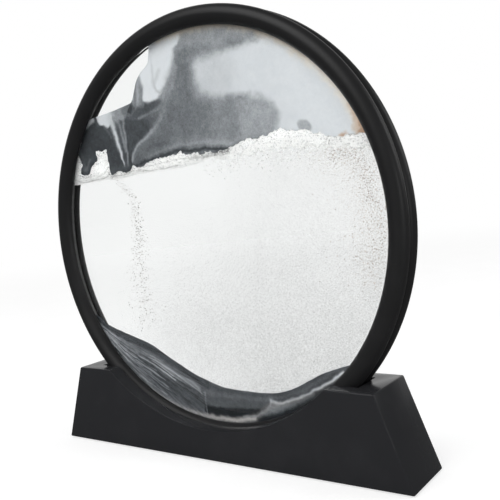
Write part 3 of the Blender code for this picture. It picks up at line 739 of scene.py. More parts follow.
@dataclass
class GlassCell:
    """The sealed cell: two panes, spacer, fill plug, tapes and the clear liquid."""

    half_gap: float = 0.0009
    pane: float = 0.0015
    pane_radius: float = 0.0839
    chamfer: float = 0.0002
    seal_inner: float = 0.0828
    seal_outer: float = 0.0836
    bond_gap: float = 0.0001
    tape_thickness: float = 0.0002
    tape_width: float = 0.0018
    rear_tape_width: float = 0.0005
    film_gap: float = 0.00005
    liquid_radius: float = 0.0825
    port_direction: float = 150.0
    port_width: float = 0.0060
    fit_gap: float = 0.0003
    seal_trim: float = 0.0002
    tape_trim: float = 0.00005

    def disc(self, name: str, radius: float, low: float, high: float, trim: float) -> Object:
        """Flat disc with its edge trimmed."""
        return add_object(name, turned_mesh(name, [
            (0.0, low), (radius - trim, low), (radius, low + trim), (radius, high - trim),
            (radius - trim, high), (0.0, high)]))

    def band(self, name: str, inner: float, low: float, high: float, outer: float, trim: float,
             *turn: float) -> Object:
        """Flat band with its corners taken off, all round or between two directions."""
        return add_object(name, turned_mesh(name, [
            (inner + trim, low), (outer - trim, low), (outer, low + trim), (outer, high - trim),
            (outer - trim, high), (inner + trim, high), (inner, high - trim),
            (inner, low + trim)], *turn))

    def build_panes(self) -> None:
        """Both panes, with ground edges."""
        glass = ClearStuff("clear_float_glass", (0.994, 0.999, 0.997), 1.30, 0.02).build()
        near, far = self.half_gap, self.half_gap + self.pane
        for name, node, low, high in (("pane_front", "front_glass", -far, -near),
                                      ("pane_rear", "rear_glass", near, far)):
            pane = self.disc(name, self.pane_radius, low, high, self.chamfer)
            settle(pane, "sand_frame", "cell_glass", node, material=glass)

    def build_liquid(self) -> None:
        """The clear liquid, which the ring turns round."""
        liquid = ClearStuff("clear_liquid_fill", (0.996, 0.999, 0.998), 1.06, 0.0).build()
        disc = self.disc("liquid_disc", self.liquid_radius, self.film_gap,
                         self.half_gap - self.film_gap, self.film_gap)
        settle(disc, "liquid", "clear_liquid", "liquid_fill", material=liquid)

    def build_seal(self) -> None:
        """Spacer with its fill port, and the port's plug."""
        half = self.half_gap - self.bond_gap
        port = math.degrees(self.port_width / 2 / self.seal_inner)
        reach = port - math.degrees(self.fit_gap / self.seal_inner)
        middle = self.port_direction
        section = (self.seal_inner, -half, half, self.seal_outer, self.seal_trim)
        rubber = SoftSeal("grey_seal_rubber", (0.10, 0.10, 0.10)).build()
        spacer = self.band("spacer_band", *section, middle + port, middle + 360.0 - port)
        settle(spacer, "sand_frame", "seal_rubber", "spacer_seal", material=rubber)
        rubber = SoftSeal("pale_plug_rubber", (0.55, 0.55, 0.52), 1600.0, 0.7, 0.2).build()
        plug = self.band("port_plug", *section, middle - reach, middle + reach)
        settle(plug, "sand_frame", "plug_rubber", "fill_plug", material=rubber)

    def build_tapes(self) -> None:
        """Foam tape behind each lip."""
        foam = SoftSeal("black_foam_tape", (0.02, 0.02, 0.02), 3000.0, 0.9, 0.6).build()
        near = self.half_gap + self.pane + self.bond_gap
        far = near + self.tape_thickness
        for name, node, low, high, width in (
                ("lip_tape_front", "front_tape", -far, -near, self.tape_width),
                ("lip_tape_rear", "rear_tape", near, far, self.rear_tape_width)):
            tape = self.band(name, self.pane_radius - width, low, high, self.pane_radius,
                             self.tape_trim)
            settle(tape, "sand_frame", "foam_tape", node, material=foam)

    def build(self) -> None:
        """The whole cell, without its sand."""
        self.build_panes()
        self.build_liquid()
        self.build_seal()
        self.build_tapes()


def smooth_path(points: Sequence[Spot], steps: int = 6) -> np.ndarray:
    """Smooth curve through points, with its ends kept."""
    spots = np.array(points, float)
    padded = np.vstack([spots[:1], spots, spots[-1:]])
    share = np.arange(steps)[:, None] / steps
    curve = []
    for before, a, b, after in zip(padded, padded[1:], padded[2:], padded[3:]):
        curve.append(0.5 * (2 * a + (b - before) * share
                            + (2 * before - 5 * a + 4 * b - after) * share ** 2
                            + (3 * a - before - 3 * b + after) * share ** 3))
    return np.vstack(curve + [spots[-1:]])


def path_distance(points: np.ndarray, path: np.ndarray) -> tuple[np.ndarray, np.ndarray]:
    """Distance from points to a path, and how far along the path the nearest place is.

    Args:
        points: Spots to measure from.
        path: Corners of the path, in order.

    Returns:
        The distances, and the shares from 0 at the path's start to 1 at its end.
    """
    nearest = np.full(len(points), 1e9)
    share = np.zeros(len(points))
    lengths = np.linalg.norm(np.diff(path, axis=0), axis=1)
    reached = np.concatenate([[0.0], np.cumsum(lengths)])
    for index, (start, end) in enumerate(zip(path, path[1:])):
        along = end - start
        size = max(float(along @ along), 1e-12)
        part = np.clip((points - start) @ along / size, 0.0, 1.0)
        gap = np.linalg.norm(points - start - part[:, None] * along, axis=1)
        closer = gap < nearest
        nearest = np.where(closer, gap, nearest)
        place = (reached[index] + part * lengths[index]) / max(reached[-1], 1e-9)
        share = np.where(closer, place, share)
    return nearest, share


def inside(points: np.ndarray, outline: np.ndarray) -> np.ndarray:
    """Which points lie inside a closed outline."""
    found = np.zeros(len(points), bool)
    for (x0, y0), (x1, y1) in zip(outline, np.roll(outline, -1, axis=0)):
        if y0 == y1:
            continue
        crosses = (y0 > points[:, 1]) != (y1 > points[:, 1])
        found ^= crosses & (points[:, 0] < (x1 - x0) * (points[:, 1] - y0) / (y1 - y0) + x0)
    return found


def value_noise(points: np.ndarray, size: float, seed: int) -> np.ndarray:
    """Smooth random values from -1 to 1, whose bumps are about size wide."""
    lattice = np.random.default_rng(seed).uniform(-1.0, 1.0, (257, 257))
    place = points / size + 64.0
    cell = np.floor(place).astype(int)
    part = place - cell
    part = part * part * (3.0 - 2.0 * part)
    x, y = cell[:, 0] % 256, cell[:, 1] % 256
    low = lattice[x, y] * (1 - part[:, 0]) + lattice[x + 1, y] * part[:, 0]
    high = lattice[x, y + 1] * (1 - part[:, 0]) + lattice[x + 1, y + 1] * part[:, 0]
    return low * (1 - part[:, 1]) + high * part[:, 1]


def screen_to_linear(value: np.ndarray) -> np.ndarray:
    """Tone as a screen shows it, from 0 to 255, as the amount of light."""
    share = np.clip(value / 255.0, 0.0, 1.0)
    return np.where(share <= 0.04045, share / 12.92, ((share + 0.055) / 1.055) ** 2.4)


def near_corners(points: np.ndarray, corners: Sequence[Spot], reach: float) -> np.ndarray:
    """Which points lie in the box round some corners, widened by a reach."""
    spots = np.array(corners, float)
    return ((points > spots.min(0) - reach) & (points < spots.max(0) + reach)).all(1)


@dataclass(frozen=True)
class Patch:
    """Area of one tone inside a closed outline, with a soft or ragged edge.

    Tones are on a screen's scale, from 0 for black to 255 for white.
    """

    tone: float | Colour
    softness: float
    outline: tuple[Spot, ...]
    strength: float = 1.0
    ragged: float = 0.0

    def near(self, points: np.ndarray) -> np.ndarray:
        """Which points the patch may cover."""
        return near_corners(points, self.outline, self.softness / 2 + 2 * self.ragged + 1.5)

    def cover(self, points: np.ndarray) -> np.ndarray:
        """How much of each point the patch covers."""
        corners = np.array(self.outline + self.outline[:1], float)
        edge = smooth_path([tuple(c) for c in corners], 3)
        gap, _ = path_distance(points, edge)
        depth = np.where(inside(points, edge[:-1]), gap, -gap)
        if self.ragged:
            depth = depth + self.ragged * (value_noise(points, 3.2, 5)
                                           + 0.9 * value_noise(points, 1.1, 6))
        share = np.clip(depth / max(self.softness, 1e-6) + 0.5, 0.0, 1.0)
        return self.strength * share * share * (3 - 2 * share)


@dataclass(frozen=True)
class Stroke:
    """Soft line of one tone along a smooth path, with a half width at each end."""

    tone: float | Colour
    widths: Spot
    path: tuple[Spot, ...]
    strength: float = 1.0
    ragged: float = 0.0
    fade: Spot = (1.0, 1.0)

    def near(self, points: np.ndarray) -> np.ndarray:
        """Which points the stroke may cover."""
        reach = 2.6 * max(self.widths) * (1 + 1.7 * self.ragged)
        return near_corners(points, self.path, reach + 0.5)

    def cover(self, points: np.ndarray) -> np.ndarray:
        """How much of each point the stroke covers."""
        gap, share = path_distance(points, smooth_path(self.path, 4))
        width = self.widths[0] + (self.widths[1] - self.widths[0]) * share
        if self.ragged:
            width = width * (1.0 + self.ragged * (value_noise(points, 1.2, 7)
                                                  + 0.7 * value_noise(points, 0.5, 8)))
        fall = np.exp(-1.3 * (gap / np.maximum(width, 1e-3)) ** 2)
        fade = self.fade[0] + (self.fade[1] - self.fade[0]) * share
        return self.strength * fade * fall


Mark = Patch | Stroke
Run = str | Spot


def filled_sheet(outline: np.ndarray, spacing: float) -> tuple[np.ndarray, np.ndarray]:
    """Fill a closed outline with evenly spaced points and triangles.

    Args:
        outline: Corners of the outline, in millimetres.
        spacing: Distance between neighbouring points.

    Returns:
        The points, the outline's first, and the triangles as point numbers.
    """
    low, high = outline.min(0), outline.max(0)
    row_step = spacing * math.sqrt(3) / 2
    rows = []
    for number, v in enumerate(np.arange(low[1], high[1], row_step)):
        us = np.arange(low[0], high[0], spacing) + (number % 2) * spacing / 2
        rows.append(np.column_stack([us, np.full_like(us, v)]))
    points = np.vstack(rows)
    points = points[inside(points, outline)]
    gap, _ = path_distance(points, np.vstack([outline, outline[:1]]))
    points = points[gap > spacing * 0.4]
    count = len(outline)
    every = np.vstack([outline, points])
    sides = [(i, (i + 1) % count) for i in range(count)]
    spots, _, faces, *_ = geometry.delaunay_2d_cdt([Vector(p) for p in every], sides, [], 1,
                                                   1e-6)
    return np.array([tuple(s) for s in spots]), np.array(faces)


def in_place(points: np.ndarray, y: np.ndarray) -> np.ndarray:
    """Places in metres of spots on the sand's plane, with Y in millimetres."""
    return np.column_stack([points[:, 0], y, points[:, 1]]) * MM + (0.0, 0.0, CENTRE_Z)


def slab_mesh(name: str, points: np.ndarray, triangles: np.ndarray, front: np.ndarray,
              back: np.ndarray) -> Mesh:
    """Closed slab between two sheets of the same points.

    Args:
        name: Name of the mesh.
        points: Places on the sand's plane, in millimetres.
        triangles: Faces as point numbers.
        front: Y of the front sheet at each point, in millimetres.
        back: Y of the back sheet at each point.

    Returns:
        The mesh, in metres and in place.
    """
    count = len(points)
    a, b, c = (points[triangles[:, i]] for i in range(3))
    area = (b[:, 0] - a[:, 0]) * (c[:, 1] - a[:, 1]) - (b[:, 1] - a[:, 1]) * (c[:, 0] - a[:, 0])
    turned = triangles.copy()
    turned[area < 0] = turned[area < 0][:, ::-1]
    used = set()
    for one, two, three in turned.tolist():
        used.update(((one, two), (two, three), (three, one)))
    rim = [(one, two) for one, two in used if (two, one) not in used]
    faces = turned.tolist() + (turned[:, ::-1] + count).tolist()
    faces += [(two, one, one + count, two + count) for one, two in rim]
    places = np.vstack([in_place(points, front), in_place(points, back)])
    return plain_mesh(name, places.tolist(), [], faces)


def store(mesh: Mesh, name: str, kind: str, values: np.ndarray) -> None:
    """Keep a value for each point of a mesh, on both sheets where it has two.

    Args:
        mesh: The mesh.
        name: Name of the attribute.
        kind: Type of the attribute.
        values: Value of each point of one sheet.
    """
    sheets = len(mesh.vertices) // len(values)
    part = {"FLOAT": "value", "FLOAT_COLOR": "color", "FLOAT_VECTOR": "vector"}[kind]
    every = np.concatenate([values] * sheets).astype(np.float32)
    mesh.attributes.new(name, kind, "POINT").data.foreach_set(part, every.ravel())


def wall_spot(direction: float, radius: float = 82.5) -> Spot:
    """Spot on the seal's inside, by its direction in degrees."""
    angle = math.radians(direction)
    return (radius * math.cos(angle), radius * math.sin(angle))


def wall_run(start: float, end: float) -> np.ndarray:
    """Spots along the seal's inside between two directions, in degrees."""
    steps = max(2, math.ceil(abs(end - start) / 0.6))
    return np.array([wall_spot(start + (end - start) * i / steps) for i in range(steps + 1)])


def ragged_path(points: Sequence[Spot], amount: float, seed: int, spacing: float = 0.4
                ) -> np.ndarray:
    """Smooth path with a crumbled course, whose ends stay where they are."""
    curve = smooth_path(points)
    lengths = np.linalg.norm(np.diff(curve, axis=0), axis=1)
    reached = np.concatenate([[0.0], np.cumsum(lengths)])
    count = max(3, round(reached[-1] / spacing))
    stops = np.linspace(0.0, reached[-1], count + 1)
    even = np.column_stack([np.interp(stops, reached, curve[:, i]) for i in range(2)])
    along = np.gradient(even, axis=0)
    along /= np.linalg.norm(along, axis=1)[:, None]
    across = np.column_stack([-along[:, 1], along[:, 0]])
    place = np.column_stack([stops, np.zeros_like(stops)])
    wave = value_noise(place, 2.4, seed) + 0.8 * value_noise(place, 0.9, seed + 1)
    calm = np.clip(np.minimum(stops, stops[-1] - stops) / 1.5, 0.0, 1.0)
    return even + across * (amount * wave * calm)[:, None]


AIR_CORNER = (-36.0, 57.0)
NECK_LEFT = (-6.5, 69.4)
NECK_RIGHT = (1.6, 68.2)
FOLD_FOOT = (-38.8, 30.3)
GREY_FOOT = (35.1, 35.4)
CREST_CORNER = (-9.8, -64.5)
HOLLOW_LEFT_TOP = (-9.9, -73.5)
HOLLOW_LEFT_LOW = (-10.1, -78.9)
HOLLOW_TIP = (23.3, -71.0)

AIR_RIGHT, AIR_LEFT = 105.5, 139.7
BAND_LEFT, BAND_RIGHT = 93.6, 62.0
FROTH_TOP_LEFT, FROTH_TOP_RIGHT = 152.0, 21.0
FROTH_LOW_LEFT, FROTH_LOW_RIGHT = 162.6, 17.8
DUNE_LEFT, DUNE_RIGHT = 206.9, 320.3
SLOPE_FOOT, RIDGE_FOOT = 263.2, 281.0
RIDGE_TOP, RIDGE_LOW = 317.4, 315.4


# Each line: its spots, how far it crumbles, its seed and the distance between corners
COURSES: dict[str, tuple] = {
    "air_right": ((wall_spot(AIR_RIGHT), (-22.7, 75.0), (-24.0, 71.5), (-28.0, 69.0), (-31.0, 66.0),
        (-33.0, 62.0), (-34.5, 58.6), AIR_CORNER), 0.08, 11),
    "air_low": ((AIR_CORNER, (-42.5, 55.9), (-49.8, 54.9), (-57.2, 54.2), wall_spot(AIR_LEFT)), 0.06, 12),
    "fold_left": ((AIR_CORNER, (-38.0, 54.5), (-39.4, 51.0), (-39.8, 45.0), (-39.7, 38.0), (-39.3, 33.0),
        FOLD_FOOT), 0.08, 13),
    "fold_right_top": ((wall_spot(BAND_LEFT), (-6.3, 76.5), (-7.2, 73.0), NECK_LEFT), 0.1, 14),
    "fold_right_low": ((NECK_LEFT, (-10.6, 64.0), (-14.0, 58.0), (-16.5, 53.0), (-20.0, 47.2),
        (-25.0, 43.5), (-31.0, 40.3), (-35.5, 37.2), (-38.0, 34.3), FOLD_FOOT), 0.06, 15),
    "neck": ((NECK_LEFT, NECK_RIGHT), 0.0, 16),
    "band_low": ((NECK_RIGHT, (9.8, 68.2), (20.4, 69.0), (30.2, 69.9), wall_spot(BAND_RIGHT)), 0.15, 17),
    "grey_right": ((NECK_RIGHT, (0.9, 62.9), (0.8, 57.2), (5.7, 53.1), (15.5, 51.7), (25.3, 49.8),
        (32.7, 48.6), (37.2, 45.3), (38.4, 40.9), GREY_FOOT), 0.15, 18),
    "froth_left": ((wall_spot(FROTH_TOP_LEFT), (-71.9, 36.5), (-71.2, 34.6), (-70.9, 33.3), (-72.3, 31.8),
        (-72.7, 29.9), (-71.2, 28.9), (-69.0, 28.9), (-67.2, 29.6), (-65.8, 31.0), (-64.0, 32.8),
        (-62.6, 34.0), (-61.0, 34.4), (-60.6, 36.2), (-61.3, 38.6), (-59.0, 38.9), (-56.8, 38.3),
        (-54.2, 39.4), (-53.9, 37.0), (-53.6, 33.5), (-53.3, 30.0), (-52.6, 27.6), (-50.8, 27.9),
        (-48.5, 28.6), (-46.0, 27.9), (-43.4, 27.6), (-40.8, 28.4), FOLD_FOOT), 0.36, 19, 0.3),
    "froth_middle": ((FOLD_FOOT, (-36.0, 29.6), (-33.0, 29.2), (-31.0, 30.4), (-28.0, 31.0),
        (-25.0, 31.2), (-22.0, 31.6), (-19.0, 32.2), (-16.0, 32.6), (-13.0, 32.2), (-10.5, 33.4),
        (-8.0, 31.8), (-5.0, 31.6), (-2.0, 31.2), (0.0, 30.6), (3.0, 31.8), (6.0, 31.5), (9.0, 31.0),
        (12.0, 31.2), (14.5, 31.4), (17.0, 32.4), (20.0, 33.4), (24.0, 33.9), (28.0, 33.7), (31.5, 34.4),
        GREY_FOOT), 0.55, 21, 0.3),
    "froth_right": ((GREY_FOOT, (40.0, 35.9), (45.0, 35.2), (50.0, 34.3), (55.0, 32.8), (59.0, 31.0),
        (62.0, 30.2), (67.0, 30.6), (71.0, 30.2), wall_spot(FROTH_TOP_RIGHT)), 0.5, 23, 0.3),
    "froth_fringe": ((wall_spot(FROTH_LOW_RIGHT), (70.0, 25.5), (62.0, 26.5), (50.0, 27.6), (40.0, 28.9),
        (30.0, 28.3), (20.0, 27.5), (12.0, 28.3), (4.0, 28.6)), 0.9, 25),
    "froth_calm": (((4.0, 28.6), (-7.0, 26.8), (-20.0, 26.6), (-35.0, 26.1), (-48.0, 25.2), (-57.0, 25.3),
        (-68.0, 25.0), wall_spot(FROTH_LOW_LEFT)), 0.2, 26),
    "slope_crest": ((wall_spot(DUNE_LEFT), (-69.0, -40.3), (-65.4, -42.5), (-57.2, -45.2), (-48.2, -47.8),
        (-40.0, -50.4), (-31.0, -55.1), (-22.6, -59.3), (-15.5, -62.6), CREST_CORNER), 0.06, 27),
    "crest_top": ((CREST_CORNER, (-3.0, -66.6), (3.3, -67.5), (13.5, -67.8), (23.7, -67.6), (30.2, -66.3),
        (36.8, -63.7), (49.0, -57.5), wall_spot(DUNE_RIGHT)), 0.06, 29),
    "slope_right": ((CREST_CORNER, (-10.4, -69.0), HOLLOW_LEFT_TOP), 0.05, 31),
    "hollow_top": ((HOLLOW_LEFT_TOP, (-2.5, -73.0), (6.5, -72.6), (14.7, -72.0), HOLLOW_TIP), 0.05, 33),
    "hollow_low": ((HOLLOW_LEFT_LOW, (-4.0, -79.6), (3.0, -79.3), (10.0, -77.9), (16.0, -75.3),
        (20.0, -72.8), HOLLOW_TIP), 0.05, 35),
    "hollow_left": ((HOLLOW_LEFT_TOP, HOLLOW_LEFT_LOW), 0.05, 37),
    "slope_end": ((HOLLOW_LEFT_LOW, wall_spot(SLOPE_FOOT)), 0.0, 38),
    "ridge_top": ((HOLLOW_TIP, (27.5, -70.6), (32.7, -69.3), (42.5, -65.6), (51.5, -60.6),
        wall_spot(RIDGE_TOP)), 0.05, 39),
    "ridge_low": ((wall_spot(RIDGE_LOW), (50.7, -62.6), (42.5, -67.2), (32.7, -71.2), (25.3, -73.3),
        (20.4, -75.6), wall_spot(RIDGE_FOOT)), 0.08, 41),
}


class SandLines:
    """Lines between the drifts, in millimetres from the ring's centre."""

    def __init__(self) -> None:
        """Lay out every line, each of them shared by the drifts on its two sides."""
        self.line = {name: ragged_path(*course) for name, course in COURSES.items()}
        self.line["froth_low"] = np.vstack([self.line["froth_fringe"][:-1],
                                            self.line["froth_calm"]])

    def outline(self, runs: Sequence[Run]) -> np.ndarray:
        """Closed outline from lines and stretches of wall that follow on one another.

        Args:
            runs: Name of each line, with a minus before it where it is followed backwards,
                or the two directions of a stretch of the wall.

        Returns:
            Its corners.
        """
        parts = []
        for run in runs:
            if isinstance(run, str):
                line = self.line[run.removeprefix("-")]
                parts.append(line[::-1] if run.startswith("-") else line)
            else:
                parts.append(wall_run(*run))
        return np.vstack([part[:-1] for part in parts])


MILKY_EDGE = ((1.6, 66.0), (4.0, 67.8), (9.0, 68.6), (20.0, 69.6), (30.0, 70.4), (36.0, 72.6),
    (41.0, 76.0), (60.0, 66.0), (84.0, 42.0), (86.0, 18.0), (60.0, 24.0), (44.0, 30.0), (37.4, 33.0),
    (37.6, 37.0), (39.4, 41.0), (38.0, 45.0), (33.0, 49.0), (25.0, 51.0), (14.0, 52.6), (7.0, 54.4),
    (3.0, 57.0), (1.6, 61.0))

UPPER_MARKS: tuple[Mark, ...] = (
    # Grey drift, darker at its lower left and paler towards its tip
    Patch(94, 9.0, ((-40, 29), (-30, 31), (-18, 33), (-14, 40), (-22, 42), (-33, 39)), 0.8),
    Patch(130, 12.0, ((6, 33), (14, 32), (26, 33), (42, 34), (44, 44), (35, 51), (20, 53), (10, 53),
        (6, 46)), 1.0, 1.5),
    Patch(156, 9.0, ((22, 34), (42, 33), (45, 43), (37, 51), (25, 51), (20, 42)), 1.0, 1.5),
    Patch(112, 6.0, ((-12, 72), (1, 70), (2.5, 56), (-6, 52), (-13, 56), (-14, 62)), 0.9, 1.0),
    # Band along the top rim
    Patch(142, 2.0, ((-7, 87), (-8, 75), (-9, 71), (0, 68.4), (10, 68.4), (20, 69.2), (30, 69.8),
        (36, 71), (42, 74), (38, 87)), 1.0, 0.5),
    Patch(115, 3.0, ((-9, 73.5), (-8, 70), (0, 68.2), (12, 68.6), (24, 69.6), (26, 72), (14, 73),
        (0, 74)), 0.9, 0.6),
    Patch(152, 5.0, ((26, 70.5), (33, 70.6), (42, 74), (38, 86), (28, 82)), 0.8),
    # Milky cloud with its soft shore
    Patch(208, 4.8, MILKY_EDGE, 1.0, 0.45),
    Patch(190, 12.0, ((2, 55), (2, 68), (16, 70), (21, 60), (14, 52)), 0.8),
    Patch(212, 14.0, ((38, 68), (84, 66), (84, 26), (54, 30), (44, 46))),
    Patch(166, 1.1, ((46.8, 37.2), (49.2, 38.4), (51.8, 37.4), (53.0, 35.0), (51.8, 32.8), (49.8, 33.4),
        (47.8, 35.2)), 1.0, 0.2),
    # Dark pocket under the fold, and the paler lines across it
    Patch(74, 2.0, ((-40, 51), (-36.5, 54.2), (-33, 56), (-30, 55.6), (-24, 56), (-18, 55), (-17, 53.4),
        (-21, 51), (-30, 49.6)), 1.0, 0.5),
    Patch(66, 1.8, ((-41, 51), (-33, 49.6), (-26, 49.4), (-20.5, 48), (-25.5, 44.2), (-31, 41),
        (-35.5, 37.8), (-38.4, 34.5), (-41, 30)), 1.0, 0.4),
    Patch(94, 4.0, ((-28, 49.6), (-20, 51), (-16, 49), (-21, 45.0), (-26, 45)), 0.7, 0.6),
    Stroke(126, (0.6, 1.3), ((-32, 50.0), (-26, 51.0), (-20, 52.6), (-16, 55.4)), 0.85),
    Stroke(100, (0.6, 0.7), ((-39.6, 51.6), (-36, 52.4), (-33, 54.2)), 0.7),
    Patch(50, 1.0, ((-39.0, 53.4), (-37, 55.4), (-35.6, 58), (-34.0, 57.6), (-34.6, 55), (-37, 52.8)),
        0.9, 0.2),
    # Strands that hang from the fold's left side
    Patch(130, 2.0, ((-36, 57.5), (-34, 61), (-31.8, 65.6), (-28.6, 69), (-27.4, 64), (-27.6, 57),
        (-30, 54.6), (-34, 55))),
    Stroke(164, (0.9, 1.1), ((-29.6, 67.6), (-30.8, 63), (-31.4, 57)), 0.8),
    Stroke(176, (0.6, 0.6), ((-33.2, 62.8), (-34.4, 58.6)), 0.6),
    Stroke(108, (0.5, 0.9), ((-32, 64), (-33, 60), (-33.4, 55.2)), 0.8),
    Stroke(114, (0.5, 0.7), ((-28.6, 62), (-28.9, 58), (-29, 54.6)), 0.7),
    # Pale fold
    Patch(216, 1.5, ((-23.8, 87), (-23.5, 78), (-23.2, 74.6), (-25, 71), (-28.6, 68.8), (-27.9, 63),
        (-28.2, 57), (-23, 56.0), (-19, 57), (-14.6, 60.8), (-11.6, 65.4), (-9.4, 70.6), (-8.4, 75.4),
        (-5.4, 77.4), (-5, 87)), 1.0, 0.2),
    Patch(214, 3.0, ((-25, 72), (-29, 69), (-28, 62), (-28, 57), (-22, 57), (-21.8, 68)), 0.8),
    Patch(212, 4.0, ((-20, 64), (-13, 62), (-10.5, 70), (-9, 78), (-14, 86), (-21, 82)), 0.8),
    Stroke(172, (0.6, 1.1), ((-21.4, 74), (-21.6, 66), (-21.2, 61), (-19.2, 59.2), (-16.8, 59.6),
        (-14.4, 61.6)), 0.9, 0.2, (0.2, 1.0)),
    Stroke(190, (1.4, 1.1), ((-20.6, 64.2), (-18.8, 66.4), (-17.4, 67.8)), 0.75),
    Stroke(180, (1.0, 1.8), ((-8.6, 75), (-10.4, 68.5), (-12.8, 63.4)), 0.6),
    Patch(150, 2.4, ((-19.4, 57.2), (-14.8, 61.2), (-11.6, 65.8), (-9.6, 70.2), (-8, 67), (-11, 60.6),
        (-15.4, 54.6)), 0.9, 0.3),
    Stroke(178, (0.8, 1.0), ((-11, 68), (-13.6, 62.4), (-16.2, 57)), 0.7, 0.0, (0.3, 1.0)),
    # Pale line that sweeps from the foot up to the fold
    Stroke(154, (0.7, 1.2), ((-38.4, 32), (-37.6, 35.2), (-35.6, 37.5), (-31, 40.3), (-26, 43),
        (-22, 45.6), (-19, 48.6)), 0.95, 0.0, (1.0, 0.7)),
    Stroke(126, (1.8, 3.2), ((-22, 45.8), (-18.6, 49.4), (-16.2, 53.4), (-14.0, 58.4), (-11.6, 63)), 0.7),
    # Pale band and ragged dark line along the drift's foot
    Stroke(138, (1.2, 3.0), ((-30, 33.6), (-20, 35.8), (-9, 37.2), (2, 37.0), (14, 35.4)), 0.6, 0.0,
        (0.2, 1.0)),
    Stroke(160, (0.8, 1.2), ((-30, 32.8), (-24, 33.9), (-17, 35.2), (-9, 35.9), (0, 35.6), (8, 34.8),
        (16, 33.6)), 0.8, 0.0, (0.3, 1.0)),
    Stroke(58, (0.95, 0.9), ((-39, 30), (-35, 30), (-31, 31), (-26, 31.8), (-21, 32.4), (-16, 33.2),
        (-10.6, 33.8), (-6, 33.0), (-1, 32.8), (4, 32.8), (9, 32.0), (14, 31.2)), 1.0, 0.4),
    Stroke(120, (0.35, 0.3), ((-6, 34.0), (0, 34.2), (5, 33.9), (11, 32.9)), 0.6, 0.4),
    # Warm cream tone along the top rim, painted lighter than the sand there to offset the shade that the
    # ring's lip casts on it, and rust by the right rim
    Stroke((216, 206, 192), (1.8, 2.2), ((-17, 80.6), (0, 81.4), (16, 80.0), (30, 75.6), (44, 67.8),
        (54, 59.6)), 0.85, 0.3),
    Stroke((232, 224, 212), (1.8, 2.4), ((54, 59.6), (62, 51.0), (68, 42.6), (73, 33)), 0.8, 0.3),
    Patch((196, 172, 150), 2.4, ((68.0, 41.5), (69.6, 38), (69.8, 35), (69.8, 32.0), (71.0, 29.4),
        (79, 27), (79, 37), (75, 43)), 0.65, 0.9),
    Patch((164, 128, 102), 1.4, ((71.4, 37.4), (72.2, 35.0), (71.8, 31.8), (72.6, 29.6), (78, 29),
        (76, 37)), 0.6, 0.9),
    Patch((178, 146, 122), 1.1, ((63.8, 30.4), (65.4, 31.4), (68.0, 31.2), (67.8, 30.0), (65.2, 29.4)),
        0.7, 0.7),
)

LEFT_MARKS: tuple[Mark, ...] = (
    # Pale caps along the top of the black drift
    Patch(196, 1.4, ((-73, 44), (-69.4, 48.8), (-65, 54.2), (-60, 56), (-59.6, 53.0), (-61.8, 51.2),
        (-66.2, 49.2), (-69.8, 46.6)), 1.0, 0.2),
    Patch(208, 1.2, ((-58.0, 51.6), (-57.4, 56), (-48.2, 57), (-48.6, 52.0), (-49.4, 49.8), (-51.4, 48.2),
        (-54.0, 49.4), (-56.4, 50.2)), 1.0, 0.2),
    Patch(136, 2.4, ((-49, 56), (-35, 59), (-38.4, 53.6), (-40, 51.4), (-44, 50.4), (-47.4, 51))),
    Patch(104, 1.6, ((-42, 55), (-36, 58), (-38.6, 53.0), (-40.8, 50.8)), 0.9),
    Stroke(160, (0.7, 0.5), ((-48.5, 54.8), (-45.5, 52.2), (-42.6, 50.6)), 0.5),
    Stroke(74, (0.9, 0.7), ((-59.2, 54.6), (-58.8, 51.8), (-57.6, 50.0)), 0.95),
    Stroke(106, (1.0, 0.5), ((-53.6, 48.6), (-51.4, 46.6), (-50.0, 43.8)), 0.5, 0.4),
    # White streaks that fan down between the black lobe and the dark pocket
    Stroke(190, (2.2, 0.45), ((-49.6, 53.0), (-47.8, 46.8), (-45.8, 39.8), (-44.3, 34), (-43.7, 30.4)),
        1.0),
    Stroke(210, (0.7, 0.4), ((-47.4, 45.8), (-45.8, 39.6), (-44.4, 33.6)), 0.6),
    Stroke(138, (1.6, 0.8), ((-46.0, 51.8), (-44.0, 47.6), (-42.8, 42.0), (-42.2, 36.5)), 0.85),
    Stroke(146, (1.0, 0.6), ((-41.8, 52.0), (-41.4, 44.0), (-41.2, 36.0), (-41.0, 30.2)), 0.8),
    Stroke(72, (0.4, 0.8), ((-45.0, 49.0), (-43.8, 42.0), (-42.8, 35.0), (-42.3, 29.8)), 0.8),
    Stroke(104, (1.4, 1.4), ((-71.6, 40.5), (-70, 36), (-69.2, 31.2)), 0.3, 0.5),
    Stroke(116, (1.0, 1.6), ((-65.6, 35.0), (-67.0, 32.6), (-68.8, 30.8)), 0.6, 0.4),
    Stroke(76, (1.8, 1.8), ((-52, 29.2), (-47, 29.6), (-41, 29.8)), 0.6, 0.5),
)

FROTH_MARKS: tuple[Mark, ...] = (
    Stroke(150, (0.25, 0.2), ((-78, 27.0), (-72, 25.7), (-64, 25.8), (-58, 26.3), (-55, 27.6),
        (-53.4, 29.6)), 0.8, 0.6),
    Stroke(176, (0.22, 0.2), ((-75, 29.4), (-70, 27.5), (-66, 28.0), (-62, 27.2), (-57, 28.6),
        (-54.4, 31.0)), 0.7, 0.6),
    Stroke(160, (0.24, 0.2), ((-52.4, 26.4), (-46, 26.6), (-38.5, 27.8), (-34, 27.2), (-28, 27.0),
        (-20, 27.2), (-13, 27.6)), 0.8, 0.6),
    Stroke(176, (0.2, 0.2), ((-30, 29.2), (-24, 29.4), (-17, 29.9), (-10, 30.2), (-2, 29.2), (5, 29.6),
        (12, 29.4)), 0.6, 0.7),
    Stroke(188, (0.22, 0.2), ((-61.0, 36.2), (-58.6, 36.6), (-56.4, 35.6), (-55.8, 32)), 0.5, 0.5),
    Stroke(184, (0.8, 0.9), ((-4, 30.2), (0, 29.4), (5, 30.4), (10, 30.2), (15, 31.0)), 0.8, 0.6),
    Stroke(126, (0.7, 0.8), ((6, 31.3), (10, 30.7), (14, 30.9)), 0.8, 0.6),
)

